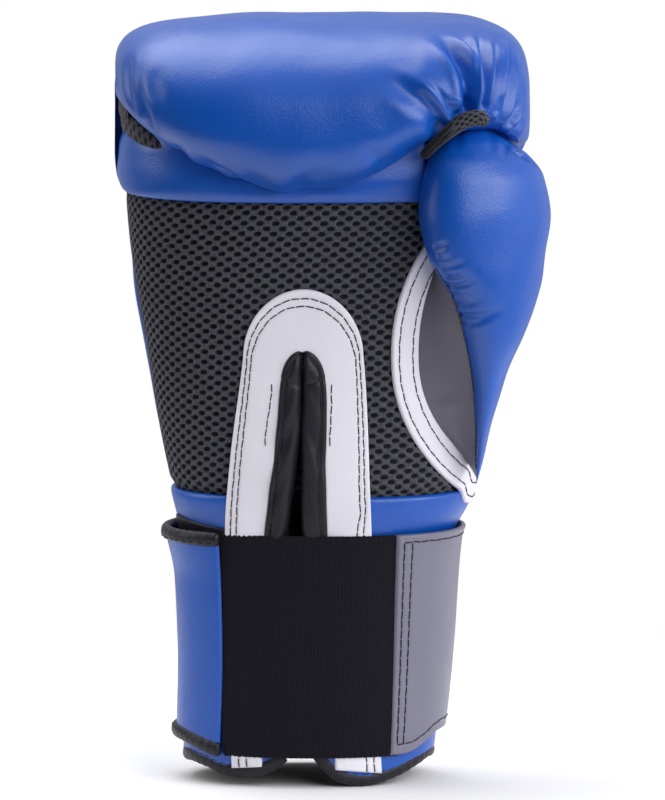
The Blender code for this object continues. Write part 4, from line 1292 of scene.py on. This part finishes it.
# dents at its top: start, end, bow, depth, width
THUMB_DENTS = (
    ((69, 243), (79, 235), 0, 1.6, 1.5),
    ((60, 250), (60, 242), 0, 0.25, 1.6),
    ((66, 246), (64, 240), 0, 0.25, 1.7),
    ((47, 250), (47, 243), 0, 0.15, 1.7),
)


def thumb_creases():
    for number in range(CREASE_COUNT):
        x, z = 48 - 1.3 * number, 178 + 3.8 * number
        length = 19 - 1.6 * number + 2.5 * math.sin(2.4 * number)  # uneven, as leather creases
        rise = (0.3 + 0.1 * math.cos(3 * number)) * length
        yield (x, z), (x + length, z + rise), 1.2, 0.45 + 0.2 * math.sin(1.7 * number), 1.25
    yield from THUMB_DENTS


def make_thumb():
    table = np.array(THUMB, float)
    fine = np.linspace(table[0, 0], table[-1, 0], 3000)
    _, half, palm, back, _ = section(THUMB, fine)
    travelled = along(np.stack([fine, half + (back - palm) / 4], axis=1))
    rows, sides = 190, 220
    levels = np.interp(np.linspace(0, travelled[-1], rows + 2)[1:-1], travelled, fine)
    turn = 2 * math.pi * np.arange(sides) / sides
    points = wall(np.repeat(turn[None, :], rows, 0), np.repeat(levels[:, None], sides, 1), 0.0, THUMB)
    ends = table[[0, -1]][:, [1, 3, 0]]
    made = capped_rings("thumb_cover", points, ends, BLUE)
    base, normals = coordinates(made)
    push = 0.35 * waves(base, 30, 21) * smooth(base[:, 2], 120, 160)
    for start, end, bow, depth, width in thumb_creases():
        line = path([snap(base, normals, g) for g in bowed(start, end, bow)], 30)
        distance, side, place = near(base, line)
        strength = smooth(place, 0.0, 0.08) * (1 - smooth(place, 0.45, 1.0))
        push -= 1.9 * depth * strength * np.exp(-((distance / width) ** 2))
        push += 0.35 * depth * strength * np.exp(-(((distance - 1.9 * width) / width) ** 2))
    set_coordinates(made, base + normals * push[:, None])
    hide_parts("thumb_shell", "thumb_foam", "thumb_lining")
    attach(made, "thumb")

    # rolled mesh strap that holds the thumb against the fingers
    line = path([(34, -45, 242), (42, -53, 250.5), (50, -55, 256.5), (55, -54, 257.5), (58, -51, 255)], 150)
    share = np.linspace(0, 1, 150)
    radius = np.interp(share, (0, 0.22, 0.42, 0.6, 0.85, 1.0), (1.9, 2.2, 2.55, 3.0, 3.05, 2.3))
    radius = radius * np.where(share > 0.93, rounded((1 - share) * 55, 3.6), 1.0).clip(0.25)
    made = tube("thumb_lock_roll", line, radius, MESH, 32, 0.9)
    turn = np.tile(2 * math.pi * np.arange(32) / 32, 150)
    length = np.repeat(along(line), 32)
    squeeze = np.repeat(np.interp(share, (0, 0.4, 0.6), (0.45, 0.7, 1.0)), 32)
    # painted shade: the roll's start, where it runs in under the lip beside the thumb, is painted darker, 85
    # % fading to none by 60 % of its length
    painted_shade = np.repeat(np.interp(share, (0, 0.4, 0.6), (0.85, 0.7, 0.0)), 32)
    weave = np.stack([1.9 * length / squeeze, 1.7 * turn * 3.2, painted_shade], axis=1)
    layer = made.data.attributes.new("weave", "FLOAT_VECTOR", "POINT")
    layer.data.foreach_set("vector", weave.astype(np.float32).ravel())
    base, normals = coordinates(made)
    pulled = np.interp(np.repeat(share, 32), (0, 0.45, 0.6), (1.6, 1.0, 0.0))
    push = -0.35 * np.abs(np.sin(turn * 3.5 + length / 30)) * pulled
    set_coordinates(made, base + normals * push[:, None])
    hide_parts("thumb_lock_strap")
    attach(made, "thumb")
    for shift in (-1.0, 1.0):
        count = 70
        side = np.array((-0.64, 0.0, 0.77)) * shift
        row = line[:count] + side + np.array((0.0, -2.35, 0.0))
        sew("thumb", row, np.tile((0.0, -1.0, 0.0), (count, 1)), 2.2, 1.8, 0.16)


# ------------------------------------------------------------------ what stays from the CAD model
def dress(name, finish):
    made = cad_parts[name]
    made.data.materials.clear()
    made.data.materials.append(finish)


make_palm()
make_trims()
make_gusset()
make_web()
make_back()
make_cuff()
make_strap()
make_fist()
make_thumb()
for group, thread in finish_stitches().items():
    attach(thread, group)
for name in ("hand_lining", "grip_bar", "finger_lining"):
    dress(name, LINING)


# ------------------------------------------------------------------ floor, light and camera
def plain(name, colour):
    n = Nodes(name)
    return n.set(Base_Color=(*colour, 1), Roughness=0.9, Specular_IOR_Level=0.1)


def make_stage():
    turn = 2 * math.pi * np.arange(96) / 96
    ring = FLOOR_RADIUS * np.stack([np.cos(turn), np.sin(turn), 0 * turn], 1)
    floor = mesh_object("floor", ring, [], [list(range(96))], plain("pale_floor", (0.92, 0.92, 0.93)))

    world = bpy.data.worlds.new("studio")
    bpy.context.scene.world = world
    world.use_nodes = True
    tree = world.node_tree
    tree.nodes.clear()
    output = tree.nodes.new("ShaderNodeOutputWorld")
    mix = tree.nodes.new("ShaderNodeMixShader")
    seen, soft = tree.nodes.new("ShaderNodeBackground"), tree.nodes.new("ShaderNodeBackground")
    seen.inputs[0].default_value = (1, 1, 1, 1)
    seen.inputs[1].default_value = 1.0
    rays = tree.nodes.new("ShaderNodeLightPath")
    place = tree.nodes.new("ShaderNodeTexCoord")
    split = tree.nodes.new("ShaderNodeSeparateXYZ")
    tree.links.new(place.outputs["Generated"], split.inputs[0])
    total = 0.03  # dark towards the camera, bright above and behind
    for axis, low, high, gain in (("Z", 0.42, 0.95, 0.5), ("Y", 0.1, 0.8, 0.5), ("X", 0.35, 0.9, 0.6)):
        ramp = tree.nodes.new("ShaderNodeMapRange")
        ramp.interpolation_type = "SMOOTHSTEP"
        tree.links.new(split.outputs[axis], ramp.inputs[0])
        for i, number in enumerate((low, high, 0.0, gain)):
            ramp.inputs[i + 1].default_value = number
        add = tree.nodes.new("ShaderNodeMath")
        add.operation = "ADD"
        tree.links.new(ramp.outputs[0], add.inputs[0])
        if isinstance(total, float):
            add.inputs[1].default_value = total
        else:
            tree.links.new(total, add.inputs[1])
        total = add.outputs[0]
    tree.links.new(total, soft.inputs[1])
    soft.inputs[0].default_value = (0.97, 0.97, 1.0, 1)
    tree.links.new(rays.outputs["Is Camera Ray"], mix.inputs[0])
    tree.links.new(soft.outputs[0], mix.inputs[1])
    tree.links.new(seen.outputs[0], mix.inputs[2])
    tree.links.new(mix.outputs[0], output.inputs[0])


def lamp(name, place, target, size, power, colour=(1, 1, 1)):
    data = bpy.data.lights.new(name, "AREA")
    data.shape = "RECTANGLE"
    data.size, data.size_y = size
    data.energy = power
    data.color = colour
    made = bpy.data.objects.new(name, data)
    made.location = place
    made.rotation_euler = (Vector(target) - Vector(place)).to_track_quat("-Z", "Y").to_euler()
    bpy.context.scene.collection.objects.link(made)
    return made


def make_camera():
    elevation, distance, lens = math.radians(7), 7.59, 900
    target = Vector((0, 0, 0.1439))
    data = bpy.data.cameras.new("camera")
    data.lens = lens
    data.sensor_width = 36
    data.clip_end = 100
    made = bpy.data.objects.new("camera", data)
    made.location = target + distance * Vector((0, -math.cos(elevation), math.sin(elevation)))
    made.rotation_euler = (target - made.location).to_track_quat("-Z", "Y").to_euler()
    bpy.context.scene.collection.objects.link(made)
    bpy.context.scene.camera = made


make_stage()
lamp("left", (-1.2, 0.0, 0.62), (0, 0, 0.2), (0.6, 0.9), 5, (1, 0.99, 0.98))
lamp("right", (0.95, -1.15, 0.85), (0, 0, 0.18), (1.75, 1.1), 23, (0.98, 0.98, 1))
lamp("side", (1.4, -0.3, 0.7), (0, 0, 0.2), (1.0, 0.9), 5)
lamp("top", (-0.4, 0.4, 1.35), (0, 0, 0.2), (1.2, 1.0), 13)
make_camera()
bpy.context.scene.view_settings.view_transform = "Standard"
